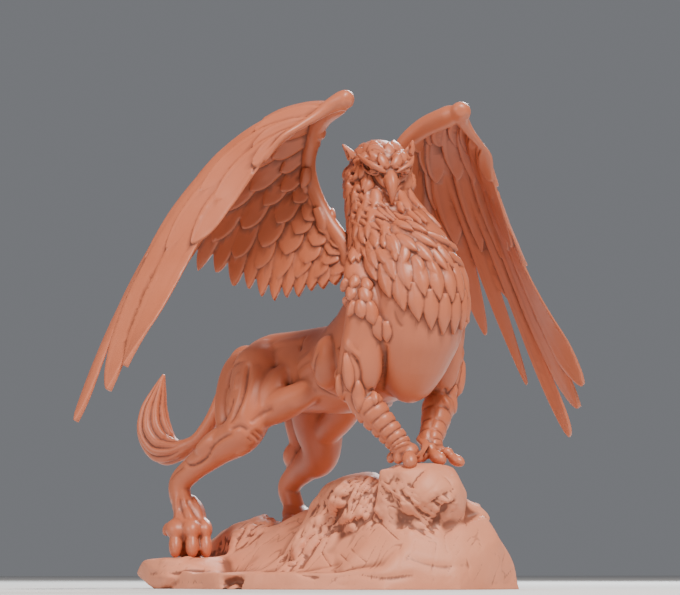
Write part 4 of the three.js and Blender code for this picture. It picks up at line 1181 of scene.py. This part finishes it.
class Finish:
    """A material and its nodes."""

    def __init__(self, name, colour, roughness):
        self.material = bpy.data.materials.new(name)
        self.material.use_nodes = True
        self.material.diffuse_color = (*colour, 1)
        self.nodes = self.material.node_tree.nodes
        self.links = self.material.node_tree.links
        self.shader = self.nodes["Principled BSDF"]
        self.shader.inputs["Roughness"].default_value = roughness

    def node(self, kind, settings=None, values=(), output=0):
        """Adds a node: its type, its settings, and the values or links of its sockets by order or by name."""
        node = self.nodes.new(kind)
        for name, setting in (settings or {}).items():
            setattr(node, name, setting)
        pairs = values.items() if isinstance(values, dict) else enumerate(values)
        for key, value in pairs:
            if isinstance(value, Value):
                self.links.new(value.socket, node.inputs[key])
            else:
                node.inputs[key].default_value = value
        return Value(self, node.outputs[output])

    def attribute(self, name):
        return self.node("ShaderNodeAttribute", {"attribute_name": name}, output="Fac")

    def place(self):
        return self.node("ShaderNodeTexCoord", output="Object")

    def noise(self, place, scale, detail):
        values = {"Vector": place, "Scale": scale, "Detail": detail, "Roughness": 0.55}
        return self.node("ShaderNodeTexNoise", {}, values)

    def range(self, value, start, end, low, high):
        """A value brought from one range to another, and held inside it."""
        return self.node("ShaderNodeMapRange", {}, [value, start, end, low, high])

    def mix(self, share, a, b):
        """Colours mixed by a share. The colour sockets are the node's seventh and eighth."""
        colours = [value if isinstance(value, Value) else (*value, 1) for value in (a, b)]
        values = {0: share, 6: colours[0], 7: colours[1]}
        return self.node("ShaderNodeMix", {"data_type": "RGBA"}, values, output=2)

    def bump(self, height, depth, strength):
        return self.node("ShaderNodeBump", {}, {"Height": height, "Distance": depth, "Strength": strength})

    def feed(self, socket, value):
        self.links.new(value.socket, self.shader.inputs[socket])


RESIN = (0.44, 0.112, 0.048)
# The pale colour serves both the random mottling and the painted highlight on ridges.
RESIN_PALE = (0.56, 0.17, 0.085)
# The darkest colour is painted shade, for the depths of folds, grooves and gaps between feathers.
RESIN_PAINTED_SHADE = (0.09, 0.018, 0.008)
MOTTLE_SCALE = 28
GRAIN_SCALE = 900
GRAIN_DEPTH = 0.06 * MM

resin = Finish("tinted_resin", RESIN, 0.42)
place = resin.place()
hollow = resin.attribute("hollow")
mottle = resin.noise(place, MOTTLE_SCALE, 5)
grain = resin.noise(place, GRAIN_SCALE, 3)
tone = resin.mix(mottle, RESIN, RESIN_PALE)
# Painted shade: the deeper a point lies in a fold or groove, the darker its colour is made.
deep = resin.range(hollow, 0.05, 0.9, 0.0, 0.75)
# Painted highlight: ridges and raised edges are made paler, as if lit.
ridge_highlight = resin.range(hollow, -0.1, -0.9, 0.0, 0.35)
tone = resin.mix(deep, tone, RESIN_PAINTED_SHADE)
tone = resin.mix(ridge_highlight, tone, RESIN_PALE)
resin.feed("Base Color", tone)
resin.feed("Roughness", 0.36 + 0.12 * mottle + 0.14 * deep)
resin.feed("Normal", resin.bump(grain, GRAIN_DEPTH, 0.5))
griffin.data.materials.clear()
griffin.data.materials.append(resin.material)
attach(griffin, "root")
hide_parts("griffin")

# Rock: the plinth, cast in the same resin and left a little duller. It is a copy of its solid with ledges
# pressed on: the hill between the spur and the boulder, and two curled lobes at the right. All is melted and
# worn into layers, chips and scratches.
ROCK_VOXEL = 1.1 * MM
ROCK_TRIANGLES = 150000

cad_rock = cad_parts["rock_plinth"]
rock = cad_rock.copy()
rock.data = cad_rock.data.copy()
rock.name = "rock_base"
rock.parent = None
for key in list(rock.keys()):
    del rock[key]
bpy.context.scene.collection.objects.link(rock)
select_only(rock)
bpy.ops.object.mode_set(mode="EDIT")
bpy.ops.mesh.select_all(action="SELECT")
bpy.ops.mesh.remove_doubles(threshold=0.01 * MM)
bpy.ops.object.mode_set(mode="OBJECT")
LEDGES = [
    # pixels and depths of the start and end of each egg, half width and half thickness in millimetres
    ((338, 503, -36), (394, 497, -62), 20, 15),
    ((346, 522, -46), (394, 516, -64), 20, 14),
    ((332, 496, -10), (388, 490, -42), 24, 10),
    ((336, 491, -28), (392, 485, -56), 17, 9.5),
    ((312, 516, -18), (366, 485, -40), 14, 8.5),
    ((457, 491, -58), (480, 505, -52), 4.2, 3.8),
    ((456, 498, -62), (480, 514, -56), 5.0, 4.6),
]
ledges = Clay()
for start, end, width, thickness in LEDGES:
    ledges.tube(egg_rings(at_pixel(*start), at_pixel(*end), width, thickness, UPWARDS))
ledge_piece = ledges.piece("rock_ledges")
select_only(rock)
ledge_piece.select_set(True)
bpy.ops.object.join()
melt(rock, ROCK_VOXEL)
stone = Skin(rock)

# The feet's seats and the underside stay as they are, and all else is worn.
SEAT_RADIUS = 14
free = np.clip((stone.points[:, 2] / MM - 0.4) / 3, 0, 1)
for side in (RIGHT, LEFT):
    for foot, sole in ((FORE_FEET[side], FORE_SOLE), (REAR_FEET[side], REAR_SOLES[side])):
        gap = np.linalg.norm(stone.points[:, :2] - foot[:2], axis=1) / MM
        on_seat = np.clip((gap - SEAT_RADIUS) / 6, 0, 1)
        below = np.clip((sole - stone.points[:, 2]) / MM / 2 - 0.5, 0, 1)
        free = np.minimum(free, np.maximum(on_seat, below))
free = free[:, None]

# The boulder's top is a dome, from the two front feet outwards, but the hill at its left keeps its height.
DOME_START = 9 * MM
DOME_FALL = 22
DOME_FOOT = 48
DOME_RISE = 18
BOULDER_EDGE = 28 * MM
ROCK_RELAX = 16
from_feet = np.linalg.norm(stone.points[:, :2] - 0.5 * (FORE_FEET[RIGHT] + FORE_FEET[LEFT])[:2], axis=1)
near_top = np.clip((stone.points[:, 2] / MM - DOME_FOOT) / DOME_RISE, 0, 1)
near_boulder = np.clip(2.6 - from_feet / (20 * MM), 0, 1)
near_boulder *= np.clip((stone.points @ np.array(rightwards) - BOULDER_EDGE) / (8 * MM), 0, 1)
fall = DOME_FALL * np.maximum(0, from_feet - DOME_START) ** 2 * near_top * near_boulder
stone.points[:, 2] -= fall
stone.relax(ROCK_RELAX, 0.6 * free)
tree = stone.tree()

# Ledges, ridges and cracks that the photograph shows: pixels, half width and height in millimetres.
ROCK_LINES = [
    # the boulder under the front feet, rounded off on top, hollow beneath and layered on its left face
    ([(418, 478), (432, 488), (438, 496)], 15.0, 2.6),
    ([(384, 496), (395, 511), (408, 525)], 10.0, -2.4),
    ([(379, 484), (388, 498), (400, 510), (409, 524), (426, 534)], 3.4, -1.8),
    ([(455, 498), (445, 508), (437, 519), (429, 532)], 4.5, -2.4),
    ([(398, 489), (406, 497), (414, 505)], 1.9, -1.7),
    ([(406, 483), (420, 491), (439, 502)], 1.9, -1.7),
    ([(383, 491), (392, 496), (399, 500)], 1.9, -1.7),
    ([(396, 500), (403, 512), (412, 522)], 1.9, -1.7),
    ([(408, 500), (422, 512), (434, 517)], 1.8, -1.5),
    ([(417, 490), (428, 498), (440, 507)], 1.7, -1.4),
    ([(440, 476), (448, 482), (452, 490)], 2.0, -1.0),
    # the spur, a rough ridge from the base up to the hill
    ([(292, 566), (300, 547), (318, 525), (335, 502), (350, 483)], 7.5, 3.6),
    ([(282, 562), (294, 537), (309, 516), (324, 497)], 4.5, -2.6),
    ([(300, 570), (313, 549), (331, 531), (351, 523), (372, 519)], 4.0, -2.4),
    ([(301, 556), (311, 538), (326, 517), (340, 499)], 1.8, -1.4),
    ([(305, 561), (319, 541), (334, 522), (347, 504)], 1.8, -1.3),
    ([(310, 534), (322, 514), (336, 494)], 1.6, -1.2),
    ([(318, 538), (333, 515), (346, 497), (356, 485)], 1.6, -1.3),
    ([(340, 512), (356, 499), (372, 490)], 1.8, -1.2),
    ([(349, 517), (362, 507), (376, 500)], 1.8, -1.1),
    # scratches on the slopes
    ([(322, 551), (326, 559), (332, 567)], 1.3, -0.9),
    ([(351, 548), (359, 556), (367, 562)], 1.2, -0.7),
    ([(341, 554), (348, 561), (354, 568)], 1.2, -0.6),
    ([(380, 522), (390, 532), (399, 540)], 1.4, -0.9),
    ([(288, 548), (293, 554), (297, 560)], 1.2, -0.7),
    # the low ledge round the base, and the small cave at its left
    ([(289, 571), (303, 574), (320, 577)], 2.4, -1.4),
    ([(330, 578), (355, 573), (385, 577), (415, 574)], 4.0, -1.2),
    ([(222, 584), (231, 579), (243, 584)], 6.0, -6.0),
    ([(404, 557), (425, 563), (445, 566), (470, 563)], 6.5, -1.3),
    ([(160, 562), (180, 560), (205, 556)], 4.0, 1.2),
    ([(150, 573), (175, 572), (205, 570)], 3.0, -1.2),
    ([(226, 540), (244, 538), (262, 528), (280, 524)], 3.5, -1.4),
    ([(232, 533), (248, 530), (268, 521)], 2.4, 1.0),
]
for line, width, height in ROCK_LINES:
    stone.stroke([seen(column, row) for column, row in line], width, height, 1.4 if height < 0 else 2)
stone.update()

# Where the rock is rough and layered: the spur, the hill and the boulder's left face. All else is smooth.
ROUGH_SPOTS = [
    # pixel, reach in millimetres
    ((288, 566), 12), ((301, 549), 15), ((316, 529), 18), ((331, 510), 17), ((343, 496), 12),
    ((250, 533), 14), ((355, 512), 12), ((276, 520), 10), ((374, 520), 9), ((225, 545), 10),
    ((352, 482), 9), ((363, 487), 11), ((374, 482), 9), ((366, 500), 10),
]
LAYERED_SPOTS = [((388, 490), 13), ((400, 504), 14), ((416, 518), 14), ((426, 528), 9), ((444, 506), 11)]


def grain_frame(right, up, back):
    """Three ways across each other: along the rock's grain, across it and through it."""
    along = unit(np.array(rightwards) * right + np.array(away) * back + np.array((0, 0, up)))
    across = unit(np.cross(along, np.array(away)))
    return [Vector(along), Vector(across), Vector(np.cross(along, across))]


SPUR_GRAIN = grain_frame(36, 51, 30)
BOULDER_GRAIN = grain_frame(40, -32, 0)
rough_spots = [
    (Vector(seen(*pixel)), reach * MM, grain)
    for spots, grain in ((ROUGH_SPOTS, SPUR_GRAIN), (LAYERED_SPOTS, BOULDER_GRAIN))
    for pixel, reach in spots
]


def rock_relief(point):
    """The rock's relief at a point, in millimetres: broad swells, and layers and chips where it is rough."""
    spot = Vector(point)
    p = spot / MM
    rough = 0
    ways = SPUR_GRAIN
    for centre, reach, grain in rough_spots:
        near = 1 - ((spot - centre).length / reach) ** 2
        if near > rough:
            rough = near
            ways = grain
    broad = noise.fractal(p * 0.022, 1.0, 2.0, 3)
    swell = noise.noise(p * 0.07)
    along, across, out = (p.dot(way) for way in ways)
    streak = abs(noise.noise(Vector((along / 22, across / 3.6, out / 5)))) ** 0.7
    break_up = abs(noise.noise(Vector((along / 7, across / 9, out / 7)) + Vector((7, 1, 3)))) ** 0.8
    faint = abs(noise.noise(Vector((along / 30, across / 6, out / 9)) + Vector((0, 9, 4))))
    relief = 1.5 * broad + 0.5 * swell - 0.25 * max(0, 0.07 - faint) / 0.07
    share = rough**0.7 * (1 if ways is SPUR_GRAIN else 0.55)
    return relief + share * (3.2 * (streak - 0.3) + 2.4 * (break_up - 0.3))


relief = np.array([rock_relief(point) for point in stone.points])
stone.points += stone.normals * (relief * MM)[:, None] * free
stone.update()
thin(rock, ROCK_TRIANGLES, hollows(stone))

ROCK_COLOUR = (0.64, 0.22, 0.115)
ROCK_PALE = (0.76, 0.31, 0.185)
ROCK_MOTTLE_SCALE = 40
GRIT_SCALE = 700
GRIT_DEPTH = 0.2 * MM
rock_finish = Finish("rock_resin", ROCK_COLOUR, 0.6)
place = rock_finish.place()
hollow = rock_finish.attribute("hollow")
mottle = rock_finish.noise(place, ROCK_MOTTLE_SCALE, 6)
tone = rock_finish.mix(mottle, ROCK_COLOUR, ROCK_PALE)
# Painted shade: the rock's hollows, cracks and layers are darkened by their depth.
deep = rock_finish.range(hollow, 0.05, 0.8, 0.0, 0.75)
tone = rock_finish.mix(deep, tone, RESIN_PAINTED_SHADE)
rock_finish.feed("Base Color", tone)
rock_finish.feed("Roughness", 0.5 + 0.15 * mottle)
grit = rock_finish.noise(place, GRIT_SCALE, 5)
rock_finish.feed("Normal", rock_finish.bump(grit, GRIT_DEPTH, 0.6))
rock.data.materials.clear()
rock.data.materials.append(rock_finish.material)
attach(rock, "root")
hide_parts("rock_plinth")

# The studio: a plain pale paper floor, a large soft key light from above the front, a fill from the left, and
# a light from behind at the right that draws the edges.
FLOOR_COLOUR = (0.72, 0.71, 0.7)
FLOOR_SIZE = 12
SKY_COLOUR = (0.9, 0.93, 1.0, 1)
SKY_STRENGTH = 0.2
LAMP_AIM = Vector((0, 0, 0.15))
bpy.ops.object.select_all(action="DESELECT")
bpy.ops.mesh.primitive_plane_add(size=FLOOR_SIZE, location=(0, 0, 0))
floor = bpy.context.object
floor.name = "studio_floor"
paper = Finish("paper", FLOOR_COLOUR, 0.9)
paper.shader.inputs["Base Color"].default_value = (*FLOOR_COLOUR, 1)
floor.data.materials.append(paper.material)

world = bpy.data.worlds.new("studio")
bpy.context.scene.world = world
world.use_nodes = True
sky = world.node_tree.nodes["Background"]
sky.inputs["Color"].default_value = SKY_COLOUR
sky.inputs["Strength"].default_value = SKY_STRENGTH


def lamp(name, place, size, power, colour):
    """A square soft box that is aimed at the middle of the statue."""
    light = bpy.data.objects.new(name, bpy.data.lights.new(name, "AREA"))
    light.data.shape = "SQUARE"
    light.data.size = size
    light.data.energy = power
    light.data.color = colour
    light.location = place
    aim = LAMP_AIM - Vector(place)
    light.rotation_euler = aim.to_track_quat("-Z", "Y").to_euler()
    bpy.context.scene.collection.objects.link(light)


lamp("key", (-0.35, -1.45, 2.2), 0.6, 95, (1.0, 0.93, 0.86))
lamp("side", (-1.8, 0.1, 0.9), 0.7, 15, (1.0, 0.93, 0.88))
lamp("rim", (1.3, 0.9, 1.1), 0.5, 40, (0.9, 0.96, 1.0))
